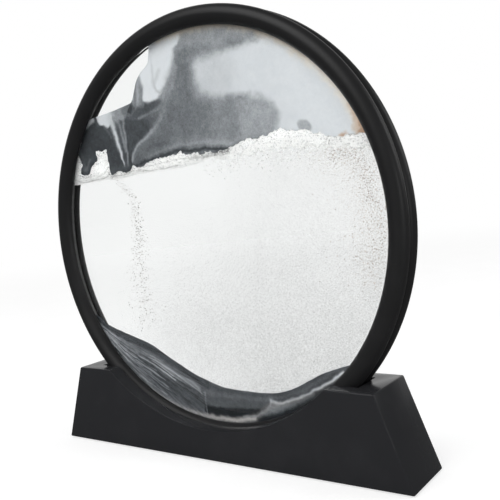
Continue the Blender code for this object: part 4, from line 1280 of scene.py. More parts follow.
LOWER_MARKS: tuple[Mark, ...] = (
    # Streaked slope: pale tip, dark middle, paler edges
    Patch(112, 7.0, ((-77, -39), (-66, -43), (-56, -47), (-50, -53), (-52, -62), (-60, -62), (-72, -52))),
    Patch(174, 3.0, ((-76, -39), (-68, -43.6), (-60, -48.0), (-60, -53.6), (-69, -52)), 0.8),
    Patch(64, 6.0, ((-52, -60), (-42, -58), (-24, -65), (-11, -70), (-11, -79), (-24, -73), (-40, -67)),
        0.8),
    Stroke(122, (1.6, 2.0), ((-71, -45), (-60, -57), (-46, -67.8), (-32, -75.8), (-21, -79.8)), 0.7),
    Stroke(120, (1.2, 1.2), ((-60, -50.6), (-50, -53.4), (-40, -55.8), (-31, -60.4), (-22, -65),
        (-14, -69)), 0.7),
    Stroke(130, (1.6, 1.4), ((-34, -60.6), (-26, -64.2), (-19, -65.8), (-14, -67.6)), 0.7),
    Stroke(150, (0.5, 0.6), ((-25, -63.8), (-19, -65.0), (-15.4, -67.0), (-12.4, -71)), 0.6),
    # Dark crest
    Patch(57, 1.2, ((-78, -34), (-66, -39), (-50, -45), (-40, -48), (-20, -57), (-9, -64), (-8, -68.4),
        (-12, -67.0), (-20, -62.8), (-30, -58.4), (-40, -53.4), (-50, -50.4), (-60, -47.2), (-68, -43.2),
        (-72, -40.6), (-77, -37.6)), 1.0, 0.15),
    Stroke(66, (1.3, 1.1), ((-12, -65.6), (-5, -67.4), (4, -68.4), (14, -68.8), (24, -68.2), (32, -66.2),
        (42, -61.6), (54, -54.4)), 0.9),
    Patch(91, 2.0, ((-11, -69.0), (4, -69.6), (16, -69.8), (26, -69.0), (24, -70.8), (10, -71.4),
        (-10, -71.2)), 0.9),
    Patch(78, 2.0, ((-10, -71.4), (10, -71.6), (23, -71), (18, -74.6), (4, -75.6), (-10, -75.2)), 0.9),
    # Black hollow
    Patch(24, 1.6, ((-10.8, -75.6), (0, -75.6), (10, -75.2), (18, -74.6), (12, -77.8), (2, -79.5),
        (-10.8, -79.1))),
    Stroke(120, (0.45, 0.4), ((-10.4, -69.8), (-10.8, -74.5), (-10.2, -79.0)), 0.7),
    # Right dune and the bright ridge above it
    Patch(36, 2.6, ((14, -78.4), (25, -75.4), (37, -70.4), (54, -59.8), (62, -54), (60, -64), (40, -78),
        (20, -86))),
    Patch(116, 3.0, ((17, -77.6), (24, -71.6), (34, -70.6), (44, -66.0), (36, -70.6), (25, -75.4))),
    Patch(86, 2.0, ((27, -69.6), (36, -66.0), (48, -59.4), (60, -50), (62, -52), (50, -59.6), (37, -67.4),
        (28, -70.8)), 0.9),
    Stroke(58, (0.8, 0.7), ((25, -70.4), (34, -68.2), (44, -63.8), (54, -57.4)), 0.8),
    # Pale line along the lower rim: a painted reflection of the ring's rim, drawn on the sand
    Stroke((190, 186, 183), (1.2, 1.3), ((-44, -70.6), (-34, -75.0), (-27, -77.4), (-20, -79.0),
        (-10, -80.3), (0, -80.6), (8, -80.0), (14.5, -78.6)), 0.95, 0.0, (0.3, 1.0)),
    Stroke(134, (0.7, 0.6), ((9, -78.9), (16, -77.1), (20.6, -74.7), (22.8, -72.4), (23.6, -70.8)), 0.9),
    Stroke(176, (0.8, 0.7), ((23.6, -70.8), (27.4, -71.2), (33, -69.6), (40, -66.6), (50, -61.6),
        (57, -56.8)), 0.95),
    Stroke(236, (0.5, 0.5), ((44, -64.8), (50, -61.4), (57.6, -56.4)), 0.9, 0.0, (0.2, 1.0)),
)


def slide_streaks(count: int = 56, seed: int = 5) -> tuple[Mark, ...]:
    """Thin pale and dark streaks where sand slid down the slope, fanned between its edges."""
    draw = np.random.default_rng(seed)
    crest = smooth_path([(-73, -41.4), (-62, -47.6), (-50, -53), (-38, -56), (-26, -62.5),
                         (-13, -69.4)], 8)
    wall = smooth_path([(-72, -42.4), (-66, -50.8), (-57, -60.6), (-44, -70.2), (-31, -76.6),
                        (-17, -81.0)], 8)
    streaks = []
    for number in range(count):
        across = (number + draw.uniform(0.1, 0.9)) / count
        start = draw.uniform(0.05, 0.62)
        end = min(1.0, start + draw.uniform(0.18, 0.45))
        line = crest * (1 - across) + wall * across
        stops = np.linspace(start, end, 4) * (len(line) - 1)
        path = tuple((float(np.interp(stop, range(len(line)), line[:, 0])),
                      float(np.interp(stop, range(len(line)), line[:, 1]))) for stop in stops)
        pale = number % 2 == 0
        tone = draw.uniform(138, 200) if pale else draw.uniform(32, 52)
        width = draw.uniform(0.15, 0.27)
        streaks.append(Stroke(tone, (width, width), path, draw.uniform(0.5, 0.95), 0.2))
    return tuple(streaks)


@dataclass(frozen=True)
class Drift:
    """One drift of sand: its outline, what is painted on it and what it stands for."""

    name: str
    node: str
    slot: str
    base: float
    outline: tuple[Run, ...]
    marks: tuple[Mark, ...]
    finish: DriftSand
    tint: Colour = (-3.5, 0.0, 3.5)
    mottle: float = 4.5
    sunk: float = 0.0
    spacing: float = 0.38
    unsteady: float = 0.35
    thin_along: str = ""

    def colours(self, points: np.ndarray) -> np.ndarray:
        """Colour of each point of the drift, as amounts of light.

        Args:
            points: Spots on the sand's plane.

        Returns:
            Red, green, blue and one for each point.
        """
        tint = np.array(self.tint)
        colours = np.tile(tint + self.base, (len(points), 1))
        drawn = np.column_stack([value_noise(points, 2.6, 81 + i)
                                 + 0.5 * value_noise(points, 1.0, 83 + i) for i in range(2)])
        drawn = points + self.unsteady * drawn
        for mark in self.marks:
            tone = np.array(mark.tone, float)
            if tone.ndim == 0:
                tone = tint + tone
            near = mark.near(drawn)
            if near.any():
                cover = mark.cover(drawn[near])[:, None]
                colours[near] = colours[near] * (1 - cover) + tone * cover
        clouds = value_noise(points, 3.6, 71) + value_noise(points, 1.5, 72)
        clouds = self.mottle * (clouds + 0.9 * value_noise(points, 0.8, 73))
        middle = np.clip(1.6 - np.abs(colours - 115.0) / 70.0, 0.12, 1.0)
        colours = colours + clouds[:, None] * middle
        return np.hstack([screen_to_linear(colours), np.ones((len(points), 1))])


FROTH_OUTLINE = ("froth_left", "froth_middle", "froth_right",
                 (FROTH_TOP_RIGHT, FROTH_LOW_RIGHT), "froth_low",
                 (FROTH_LOW_LEFT, FROTH_TOP_LEFT))
CLEAR_OUTLINE = ((FROTH_LOW_LEFT, DUNE_LEFT), "slope_crest", "crest_top",
                 (DUNE_RIGHT, 360.0 + FROTH_LOW_RIGHT), "froth_low")

DRIFTS: tuple[Drift, ...] = (
    Drift("pale_fold_sand", "upper_pale_fold", "pale_sand", 108,
          ((BAND_LEFT, AIR_RIGHT), "air_right", "fold_left", "-fold_right_low",
           "-fold_right_top"), UPPER_MARKS,
          DriftSand("pale_fold_grain", mottle_scale=330.0, streak_contrast=0.16)),
    Drift("black_drift_sand", "upper_black_drift", "black_sand", 58,
          ((AIR_LEFT, FROTH_TOP_LEFT), "froth_left", "-fold_left", "air_low"), LEFT_MARKS,
          DriftSand("black_drift_grain", mottle_contrast=0.35, streak_contrast=0.15),
          mottle=4.0),
    Drift("top_band_sand", "upper_dark_band", "dark_grey_sand", 108,
          ((BAND_RIGHT, BAND_LEFT), "fold_right_top", "neck", "band_low"), UPPER_MARKS,
          DriftSand("top_band_grain", mottle_scale=330.0)),
    Drift("grey_drift_sand", "upper_grey_drift", "grey_sand", 108,
          ("fold_right_low", "froth_middle", "-grey_right", "-neck"), UPPER_MARKS,
          DriftSand("grey_drift_sand", mottle_scale=330.0)),
    Drift("milky_cloud_sand", "upper_milky_drift", "milky_sand", 108,
          ((FROTH_TOP_RIGHT, BAND_RIGHT), "-band_low", "grey_right", "froth_right"),
          UPPER_MARKS, DriftSand("milky_cloud_grain", mottle_scale=330.0), spacing=0.5),
    Drift("froth_bed", "froth_band", "white_froth", 255, FROTH_OUTLINE, FROTH_MARKS,
          DriftSand("froth_bed_grain", streak_contrast=0.03), tint=(0.0, 0.0, -1.0),
          mottle=2.0, sunk=0.25, spacing=0.24, unsteady=0.2, thin_along="froth_low"),
    Drift("slope_sand", "lower_streaked_slope", "streaked_sand", 84,
          ("slope_crest", "slope_right", "hollow_left", "slope_end",
           (SLOPE_FOOT, DUNE_LEFT)), LOWER_MARKS + slide_streaks(),
          DriftSand("slope_grain", streak_contrast=1.6, streak_closeness=2.4,
                    mottle_contrast=0.15), tint=(0.0, 3.0, 7.0), spacing=0.27, unsteady=0.2),
    Drift("crest_sand", "lower_dark_crest", "dark_grey_sand", 84,
          ("crest_top", (DUNE_RIGHT, RIDGE_TOP), "-ridge_top", "-hollow_top",
           "-slope_right"), LOWER_MARKS,
          DriftSand("crest_grain", streak_contrast=0.2), tint=(-3.0, 0.0, 4.0)),
    Drift("hollow_sand", "lower_black_hollow", "black_sand", 84,
          ("hollow_top", "-hollow_low", "-hollow_left"), LOWER_MARKS,
          DriftSand("hollow_grain", streak_contrast=0.1)),
    Drift("ridge_sand", "lower_pale_ridge", "milky_sand", 84,
          ("-slope_end", "hollow_low", "ridge_top", (RIDGE_TOP, RIDGE_LOW), "ridge_low",
           (RIDGE_FOOT, SLOPE_FOOT)), LOWER_MARKS,
          DriftSand("ridge_grain", streak_contrast=0.25), tint=(3.0, 4.0, 6.0)),
    Drift("dune_sand", "lower_grey_dune", "grey_sand", 84,
          ("ridge_low", (RIDGE_FOOT, RIDGE_LOW)), LOWER_MARKS,
          DriftSand("dune_grain", streak_contrast=0.3)),
)


@dataclass
class SandPicture:
    """All drifts of sand in the cell, against the front pane."""

    front: float = -0.85
    back: float = -0.05
    relief: float = 0.05
    thin_over: float = 4.5
    thinnest: float = 0.03
    slide_focus: Spot = (-75.0, -41.6)
    lines: SandLines = field(default_factory=SandLines)

    def flow(self, points: np.ndarray) -> np.ndarray:
        """Place of each point along and across the way the sand slid there."""
        off = points - np.array(self.slide_focus)
        fan = np.column_stack([np.linalg.norm(off, axis=1) * 0.045,
                               np.degrees(np.arctan2(off[:, 1], off[:, 0])) * 0.95,
                               np.zeros(len(points))])
        fall = np.column_stack([points[:, 1] * 0.12, points[:, 0] + 0.25 * points[:, 1],
                                np.ones(len(points))])
        return np.where((points[:, 1] < 0)[:, None], fan, fall)

    def faces(self, points: np.ndarray, drift: Drift) -> tuple[np.ndarray, np.ndarray]:
        """Y of a drift's front, with soft ripples, and of its back, in millimetres."""
        ripple = 0.5 + 0.5 * value_noise(points, 3.0, 51)
        fine = 0.5 + 0.5 * value_noise(points, 0.9, 52)
        front = self.front + drift.sunk + self.relief * (0.7 * ripple + 0.3 * fine)
        back = np.full(len(points), self.back) - 0.03 * (1 + value_noise(points, 2.0, 53))
        if drift.thin_along:
            gap, _ = path_distance(points, self.lines.line[drift.thin_along])
            full = np.clip(gap / self.thin_over, 0.0, 1.0)
            front = (back - self.thinnest) * (1 - full) + front * full
        return front, back

    def build(self) -> None:
        """Every drift as a closed slab with its tones painted on both faces."""
        for drift in DRIFTS:
            points, triangles = filled_sheet(self.lines.outline(drift.outline), drift.spacing)
            mesh = slab_mesh(drift.name, points, triangles, *self.faces(points, drift))
            store(mesh, "paint", "FLOAT_COLOR", drift.colours(points))
            store(mesh, "flow", "FLOAT_VECTOR", self.flow(points))
            settle(add_object(drift.name, mesh), "sand_frame", drift.slot, drift.node,
                   material=drift.finish.build())


STREAM = smooth_path([(-52.0, 27.0), (-45.0, 20.0), (-41.0, 14.0), (-40.0, 0.0),
                      (-41.0, -12.0), (-42.0, -22.0), (-40.0, -36.0)])
RUST_TRAIL = smooth_path([(62.0, 25.0), (68.0, 23.5), (71.5, 19.0), (73.5, 12.0), (75.0, 4.0),
                          (76.0, -6.0), (74.0, -18.0)])


@dataclass(frozen=True)
class Strewn:
    """Grains strewn over a sheet: sizes in millimetres, density as grains to a square one."""

    name: str
    slot: str
    shape: GrainShape
    finish: LooseGrains
    seed: int
    density: float
    sizes: Spot
    depth: float
    middle: float


@dataclass
class Suspension:
    """Froth and floating grains in the clear part of the cell."""

    lines: SandLines
    spacing: float = 1.0
    veil_front: float = -0.50
    veil_back: float = -0.40

    def strew(self, strewn: Strewn, outline: Sequence[Run],
              crowding: Callable[[np.ndarray], np.ndarray]) -> None:
        """Strew grains over an outline and keep them as one piece.

        Args:
            strewn: The grains.
            outline: Lines that bound them.
            crowding: Function from points to how crowded the grains are there.
        """
        points, triangles = filled_sheet(self.lines.outline(outline), self.spacing)
        places = in_place(points, np.full(len(points), strewn.middle))
        mesh = plain_mesh(strewn.name, places.tolist(), [], triangles.tolist())
        store(mesh, "crowding", "FLOAT", crowding(points))
        piece = run_tree(add_object(strewn.name, mesh), scatter(strewn.shape), {
            "Density": strewn.density / MM ** 2, "Smallest": strewn.sizes[0] * MM,
            "Largest": strewn.sizes[1] * MM, "Depth": strewn.depth * MM, "Seed": strewn.seed,
            "Material": strewn.finish.build()})
        settle(piece, "sand_frame", strewn.slot, smooth=False)

    @staticmethod
    def haze(points: np.ndarray) -> np.ndarray:
        """How thick the cloud of fine grains is, from 0 to 1."""
        u, v = points[:, 0], points[:, 1]
        right = np.clip((u - 4.0 + 0.35 * (30 - v)) / 34.0, 0.0, 1.0)
        middle = 1.9 * np.exp(-((u + 6) / 36) ** 2 - ((v + 46) / 24) ** 2)
        low = 2.5 * np.clip((18 - v) / 60.0, 0.0, 1.0) * np.clip((u + 45) / 70.0, 0.0, 1.0)
        thick = np.cbrt((right * 0.8) ** 3 + middle ** 3 + low ** 3)
        edge = np.clip((81.6 - np.hypot(u, v)) / 2.0, 0.0, 1.0)
        cloud = 1.0 + 0.04 * value_noise(points, 9.0, 61) + 0.04 * value_noise(points, 3.5, 62)
        return np.clip(thick * edge * cloud, 0.0, 2.8)

    @staticmethod
    def beside(line: np.ndarray, width: float, points: np.ndarray) -> np.ndarray:
        """How near points lie to a line, from 0 to 1."""
        gap, _ = path_distance(points, line)
        return np.exp(-(gap / width) ** 2)

    @staticmethod
    def falling(line: np.ndarray, width: float, spread: float, fade: float,
                points: np.ndarray) -> np.ndarray:
        """How crowded grains are that fall along a line, spread out and thin out."""
        gap, along = path_distance(points, line)
        return np.exp(-(gap / (width + spread * along ** 1.5)) ** 2) * (1.0 - fade * along)

    def build_froth(self) -> None:
        """Bubbles of the froth, and dark specks along its upper shore."""
        shore = np.vstack([self.lines.line[f"froth_{part}"] for part in ("left", "middle",
                                                                         "right")])
        bubbles = LooseGrains("froth_bubble_white", (0.72, 0.73, 0.73), (0.99, 0.99, 0.98), 0.35)
        self.strew(Strewn("froth_bubbles", "white_froth", GrainShape.BUBBLE, bubbles, seed=3,
                          density=3.4, sizes=(0.10, 0.34), depth=0.06, middle=-0.52),
                   FROTH_OUTLINE, lambda p: np.ones(len(p)))
        specks = LooseGrains("froth_speck_dark", (0.03, 0.03, 0.03), (0.35, 0.35, 0.35))
        self.strew(Strewn("froth_specks", "dark_grey_sand", GrainShape.GRAIN, specks, seed=17,
                          density=1.7, sizes=(0.09, 0.26), depth=0.05, middle=-0.56),
                   FROTH_OUTLINE,
                   lambda p: self.beside(shore, 2.2, p) * np.where(p[:, 0] < -50.0, 2.6, 1.0))

    def build_grains(self) -> None:
        """Grains afloat in the liquid, spray below the froth and the two falling trails."""
        grey = LooseGrains("floating_grain_grey", (0.10, 0.10, 0.105), (0.60, 0.60, 0.60))
        self.strew(Strewn("floating_grains", "grey_sand", GrainShape.GRAIN, grey, seed=9,
                          density=1.3, sizes=(0.06, 0.15), depth=0.20, middle=-0.45),
                   CLEAR_OUTLINE, self.haze)
        white = LooseGrains("froth_spray_white", (0.74, 0.75, 0.75), (1.0, 1.0, 0.99), 0.35)
        self.strew(Strewn("froth_spray", "white_froth", GrainShape.BUBBLE, white, seed=21,
                          density=2.0, sizes=(0.12, 0.34), depth=0.10, middle=-0.44),
                   CLEAR_OUTLINE,
                   lambda p: self.beside(self.lines.line["froth_fringe"], 4.5, p))
        brown = LooseGrains("falling_grain_brown", (0.04, 0.035, 0.03), (0.34, 0.30, 0.26))
        self.strew(Strewn("falling_stream", "streaked_sand", GrainShape.GRAIN, brown, seed=11,
                          density=2.4, sizes=(0.11, 0.30), depth=0.12, middle=-0.45),
                   CLEAR_OUTLINE, lambda p: self.falling(STREAM, 1.3, 5.5, 0.72, p))
        rust = LooseGrains("rust_grain", (0.10, 0.055, 0.035), (0.48, 0.33, 0.24))
        self.strew(Strewn("rust_grains", "streaked_sand", GrainShape.GRAIN, rust, seed=13,
                          density=3.6, sizes=(0.09, 0.25), depth=0.12, middle=-0.48),
                   CLEAR_OUTLINE, lambda p: self.falling(RUST_TRAIL, 2.8, 2.0, 0.8, p)
                   + 0.08 * self.beside(RUST_TRAIL, 12.0, p))
        dust = LooseGrains("rust_dust_grain", (0.42, 0.32, 0.23), (0.74, 0.66, 0.56))
        self.strew(Strewn("rust_dust", "streaked_sand", GrainShape.GRAIN, dust, seed=19,
                          density=7.0, sizes=(0.06, 0.13), depth=0.12, middle=-0.30),
                   CLEAR_OUTLINE, lambda p: self.beside(RUST_TRAIL, 9.0, p))

    def build_veil(self) -> None:
        """Thin cloud of the finest grains."""
        points, triangles = filled_sheet(self.lines.outline(CLEAR_OUTLINE), self.spacing)
        front, back = (np.full(len(points), y) for y in (self.veil_front, self.veil_back))
        mesh = slab_mesh("fine_haze", points, triangles, front, back)
        store(mesh, "crowding", "FLOAT", self.haze(points))
        settle(add_object("fine_haze", mesh), "sand_frame", "grey_sand",
               material=HazeVeil("fine_haze_grain").build())

    def build(self) -> None:
        """Everything that floats."""
        self.build_froth()
        self.build_grains()
        self.build_veil()


def ring_arc(radius: float, start: float, end: float, steps: int) -> list[Spot]:
    """Spots in X and Z about the ring's centre, from one angle to another."""
    angles = [start + (end - start) * i / steps for i in range(steps + 1)]
    return [(radius * math.cos(angle), CENTRE_Z + radius * math.sin(angle)) for angle in angles]


@dataclass
class Base:
    """The slotted base: moulded shell, closing plate, screws and rubber feet."""

    bottom_length: float = 0.1750
    top_length: float = 0.1499
    height: float = 0.0345
    depth: float = 0.0266
    wall: float = 0.0022
    edge_round: float = 0.0006
    scoop_round: float = 0.0002
    shell_bottom: float = 0.0006
    slot_radius: float = 0.0894
    slot_half_width: float = 0.0069
    slot_wall: float = 0.0020
    scoop_radius: float = 0.0816
    boss_radius: float = 0.0027
    boss_place: Spot = (0.0620, 0.0071)
    plate: float = 0.0020
    fit_gap: float = 0.0003
    screw_head: Spot = (0.0024, 0.0014)
    screw_shank: float = 0.0010
    screw_length: float = 0.0090
    screw_sink: float = 0.0002
    foot_radius: float = 0.0038
    foot_sunk: float = 0.0003
    foot_place: Spot = (0.0765, 0.0063)
    arc_steps: int = 72
    foot_steps: int = 48
    keeper_steps: int = 144
    recess_lengths: Spot = (0.0013, 0.0007)
    recess_half_width: float = 0.00026
    recess_depth: float = 0.0009
    head_rim: float = 0.0003
    softening: float = 0.0001
    foot_round: float = 0.0002
    plate_round: float = 0.0003
    pilot_spare: float = 0.0008
    overrun: float = 0.002

    @property
    def top(self) -> float:
        """Height of the top faces."""
        return self.shell_bottom + self.height

    @property
    def end_slope(self) -> float:
        """How far each end leans in for its height."""
        return (self.bottom_length - self.top_length) / 2 / self.height

    def arc(self, radius: float) -> list[Spot]:
        """Arc about the ring's centre, from the right top edge down and up to the left."""
        reach = math.asin((CENTRE_Z - self.top) / radius)
        return ring_arc(radius, -reach, -math.pi + reach, self.arc_steps)

    def outer_mesh(self) -> Mesh:
        """Outside of the shell, with its scoop and slot, and how far each edge is rounded."""
        bm = bmesh.new()
        low, high = self.shell_bottom, self.top
        half_low, half_high = self.bottom_length / 2, self.top_length / 2
        outer, inner = self.depth / 2, self.slot_half_width
        scoop, slot = self.arc(self.scoop_radius), self.arc(self.slot_radius)

        def row(points: Sequence[Spot], y: float) -> list[BMVert]:
            """Corners of a line of points at one depth."""
            return [bm.verts.new((x, y, z)) for x, z in points]

        ends = [(-half_low, low), (half_low, low), (half_high, high), (-half_high, high)]
        front, rear = row(ends, -outer), row(ends, outer)
        scoops = [row(scoop, y) for y in (-outer, -inner, inner, outer)]
        slots = [row(slot, y) for y in (-inner, inner)]
        bm.faces.new(front[:3] + scoops[0] + front[3:])
        bm.faces.new(rear[:3] + scoops[3] + rear[3:])
        bm.faces.new([front[0], front[1], rear[1], rear[0]])
        bm.faces.new([front[1], front[2], rear[2], rear[1]])
        bm.faces.new([front[3], front[0], rear[0], rear[3]])
        bm.faces.new([front[2], rear[2], scoops[3][0], scoops[2][0], slots[1][0], slots[0][0],
                      scoops[1][0], scoops[0][0]])
        bm.faces.new([front[3], rear[3], scoops[3][-1], scoops[2][-1], slots[1][-1],
                      slots[0][-1], scoops[1][-1], scoops[0][-1]])
        for one, other in ((scoops[0], scoops[1]), (scoops[2], scoops[3]), slots):
            for i in range(self.arc_steps):
                bm.faces.new((one[i], one[i + 1], other[i + 1], other[i]))
        bm.faces.new(scoops[1] + slots[0][::-1])
        bm.faces.new(scoops[2] + slots[1][::-1])
        bmesh.ops.recalc_face_normals(bm, faces=bm.faces)
        weight = bm.edges.layers.float.new("bevel_weight_edge")
        for edge in bm.edges:
            if edge.calc_face_angle_signed(0.0) > 0.5:
                curved = all(self.on_arc(vert.co) for vert in edge.verts)
                edge[weight] = self.scoop_round / self.edge_round if curved else 1.0
        return write_mesh(bm, bpy.data.meshes.new("base_outside"))

    def on_arc(self, spot: Vector) -> bool:
        """Whether a corner lies on the scoop's or the slot's arc."""
        radius = math.hypot(spot.x, spot.z - CENTRE_Z)
        return min(abs(radius - self.scoop_radius), abs(radius - self.slot_radius)) < 1e-6

    @staticmethod
    def wedge(name: str, bottom: Spot, top: Spot, half: float) -> Object:
        """Block with sloping ends.

        Args:
            name: Name of the object.
            bottom: Half length and Z of its bottom.
            top: Half length and Z of its top.
            half: Half of its depth.

        Returns:
            The block, for a cut or a piece.
        """
        return Base.prism(name, [(-bottom[0], bottom[1]), bottom, top, (-top[0], top[1])], half)

    @staticmethod
    def prism(name: str, outline: Sequence[Spot], half: float) -> Object:
        """Plain prism over an outline in X and Z, which reaches as far forward as back."""
        bm = bmesh.new()
        loft(bm, [[(x, y, z) for x, z in outline] for y in (-half, half)])
        return add_object(name, write_mesh(bm, bpy.data.meshes.new(name)))

    @staticmethod
    def post(name: str, places: Sequence[Spot], outline: Sequence[Spot],
             steps: int = 32) -> Object:
        """Turned posts at some places, from radius and Z points, for a cut or a pattern."""
        bm = bmesh.new()
        round_steps = [(math.cos(i * math.tau / steps), math.sin(i * math.tau / steps))
                       for i in range(steps)]
        for x, y in places:
            loft(bm, [[(x + radius * across, y + radius * along, z)
                       for across, along in round_steps] for radius, z in outline])
        return add_object(name, write_mesh(bm, bpy.data.meshes.new(name)))

    @staticmethod
    def cut(piece: Object, *cutters: Object) -> None:
        """Take cutters out of a piece for good, and delete them."""
        for cutter in cutters:
            step = piece.modifiers.new(cutter.name, "BOOLEAN")
            step.operation, step.solver, step.object = "DIFFERENCE", "EXACT", cutter
        keep_modified(piece)
        for cutter in cutters:
            bpy.data.objects.remove(cutter)

    @staticmethod
    def four(place: Spot) -> list[Spot]:
        """One place mirrored to the four corners."""
        return [(i * place[0], j * place[1]) for i in (-1, 1) for j in (-1, 1)]

    def build_shell(self, material: Material) -> None:
        """Hollow shell with its bosses."""
        shell = add_object("base_moulding", self.outer_mesh())
        rounding = shell.modifiers.new("rounding", "BEVEL")
        rounding.width, rounding.segments, rounding.limit_method = self.edge_round, 3, "WEIGHT"
        along = self.wall * math.hypot(1.0, self.end_slope)
        floor, ceiling = self.shell_bottom - self.overrun, self.top - self.wall
        cavity = self.wedge(
            "cavity", (self.bottom_length / 2 + self.end_slope * self.overrun - along, floor),
            (self.top_length / 2 + self.end_slope * self.wall - along, ceiling),
            self.depth / 2 - self.wall)
        boss_end = self.shell_bottom + self.plate + self.fit_gap
        keepers = [self.prism(name, ring_arc(radius, 0.0, math.tau, self.keeper_steps)[:-1], half)
                   for name, radius, half in (
                       ("slot_keeper", self.slot_radius + self.slot_wall,
                        self.slot_half_width + self.slot_wall),
                       ("scoop_keeper", self.scoop_radius + self.wall, self.depth / 2))]
        bosses = self.post("boss_keeper", self.four(self.boss_place),
                           [(self.boss_radius, self.top), (self.boss_radius, boss_end)])
        self.cut(cavity, *keepers, bosses)
        pilot = self.screw_shank + self.fit_gap
        pilot_end = self.shell_bottom + self.screw_length + self.pilot_spare
        pilots = self.post("pilots", self.four(self.boss_place),
                           [(pilot, pilot_end), (pilot, floor)])
        self.cut(shell, cavity, pilots)
        settle(shell, "base", "base_plastic", "base_shell", material=material, merged=True)

    def build_plate(self, material: Material) -> None:
        """Closing plate, sunk for its screws and its feet."""
        half_low = (self.bottom_length / 2 - self.fit_gap
                    - self.wall * math.hypot(1.0, self.end_slope))
        low, high = self.shell_bottom, self.shell_bottom + self.plate
        plate = self.wedge("closing_plate", (half_low, low),
                           (half_low - self.end_slope * self.plate, high),
                           self.depth / 2 - self.wall - self.fit_gap)
        bm = bmesh.new()
        bm.from_mesh(plate.data)
        bmesh.ops.bevel(bm, geom=list(bm.edges), offset=self.plate_round, segments=2,
                        profile=0.5, affect="EDGES")
        bm.to_mesh(plate.data)
        bm.free()
        head, rise = self.screw_head
        rim, below = low + self.screw_sink, low - self.overrun
        hole, sink = self.screw_shank + self.fit_gap, head + self.fit_gap
        well = self.foot_radius + self.fit_gap
        screws = self.post("screw_holes", self.four(self.boss_place),
                           [(hole, high + self.overrun), (hole, rim + rise), (sink, rim),
                            (sink, below)])
        wells = self.post("foot_wells", self.four(self.foot_place),
                          [(well, low + self.foot_sunk + self.fit_gap), (well, below)],
                          self.foot_steps)
        self.cut(plate, screws, wells)
        settle(plate, "base", "plate_plastic", "bottom_plate", material=material, merged=True)

    def build_copies(self, name: str, pattern: Object, place: Spot, turn: float,
                     material: Material, slot: str, node: str) -> None:
        """Four copies of a pattern, which stand for the nodes of that name."""
        mesh = plain_mesh(name, [(x, y, 0.0) for x, y in self.four(place)])
        piece = run_tree(add_object(name, mesh), copies(), {
            "Pattern": pattern, "Turn Spread": turn, "Seed": 4, "Material": material})
        bpy.data.objects.remove(pattern)
        settle(piece, "base", slot, *[f"{node}_{number}" for number in range(1, 5)],
               merged=True)

    def build_screws(self) -> None:
        """Countersunk screws with a cross recess."""
        head, rise = self.screw_head
        rim = self.shell_bottom + self.screw_sink
        tip, shank = rim + self.screw_length, self.screw_shank
        screw = self.post("screw_pattern", [(0.0, 0.0)], [
            (shank * 0.3, tip), (shank, tip - shank), (shank, rim + rise),
            (head, rim + self.head_rim), (head, rim + self.softening),
            (head - self.softening, rim)])
        outer, inner = self.recess_lengths
        bars = [self.wedge("recess", (outer, rim - self.overrun / 2),
                           (inner, rim + self.recess_depth), self.recess_half_width)
                for _ in range(2)]
        bars[1].data.transform(Matrix.Rotation(math.pi / 2, 4, "Z"))
        self.cut(screw, *bars)
        self.build_copies("plate_screws", screw, self.boss_place, math.tau,
                          BrushedSteel("screw_steel_plated").build(), "screw_steel",
                          "plate_screw")

    def build_feet(self) -> None:
        """Round rubber feet with a softened rim and a shallow dish."""
        top, radius = self.shell_bottom + self.foot_sunk, self.foot_radius
        foot = self.post("foot_pattern", [(0.0, 0.0)], [
            (radius - self.foot_round, top), (radius, top - self.foot_round), (radius, 0.0003),
            (radius - self.softening, self.softening), (radius - 0.0003, 0.0),
            (radius * 0.72, 0.0), (radius * 0.62, 0.00012), (radius * 0.2, 0.00018)],
            self.foot_steps)
        rubber = SoftSeal("foot_rubber_black", (0.03, 0.03, 0.03), 1800.0, 0.85, 0.3).build()
        self.build_copies("rubber_feet", foot, self.foot_place, 0.0, rubber, "foot_rubber",
                          "foot_pad")

    def build(self) -> None:
        """The whole base."""
        self.build_shell(BlackPlastic("base_black_satin", (0.0225, 0.0230, 0.0252),
                                      roughness=0.21, roughness_spread=0.06,
                                      specular=0.15).build())
        self.build_plate(BlackPlastic("plate_black_matt", roughness=0.5, bump=0.08,
                                      peel_scale=700.0).build())
        self.build_screws()
        self.build_feet()


def seen_straight(wires: Wiring) -> NodeSocket:
    """One where the camera sees a backdrop, straight or through clear glass."""
    path = wires.add("ShaderNodeLightPath").outputs
    bounced = wires.math("ADD", path["Diffuse Depth"], path["Glossy Depth"])
    straight = wires.times(path["Is Transmission Ray"], wires.math("LESS_THAN", bounced, 0.5))
    return wires.math("MAXIMUM", path["Is Camera Ray"], straight)


@dataclass(frozen=True)
class PaleFloor(Finish):
    """Pale floor that turns white for the camera and keeps the soft shadow."""

    glow: float = 0.64
    reach: Spot = (0.35, 1.4)
    mirrored_tone: float = 0.16

    def looks(self, wires: Wiring, place: NodeSocket) -> Feeds:
        """A cloudy pale tone, lost in white far away where it is seen straight."""
        length = wires.add("ShaderNodeVectorMath", {0: place}, operation="LENGTH")
        far = wires.spread(length.outputs["Value"], *self.reach)
        far.node.interpolation_type = "SMOOTHERSTEP"
        seen = seen_straight(wires)
        tone = wires.times(wires.spread(wires.noise(place, 30.0, 5.0), 0.3, 0.7, 0.49, 0.52),
                           wires.math("SUBTRACT", 1.0, wires.times(far, seen)))
        glow = wires.times(seen, wires.spread(far, 0.0, 1.0, self.glow, 1.0))
        return {"Base Color": wires.blend("MULTIPLY", 1.0, WHITE, tone), "Roughness": 0.9,
                "Specular IOR Level": 0.0, "Emission Color": WHITE, "Emission Strength": glow}

    def surface(self, wires: Wiring, shader: Node) -> Node:
        """The shader, but darker where the object mirrors the floor."""
        path = wires.add("ShaderNodeLightPath").outputs
        mirrored = wires.times(path["Is Glossy Ray"],
                               wires.math("SUBTRACT", 1.0, path["Is Transmission Ray"]))
        dim = wires.add("ShaderNodeBsdfDiffuse", {"Color": (self.mirrored_tone,) * 3})
        return wires.add("ShaderNodeMixShader", {0: mirrored, 1: shader, 2: dim})


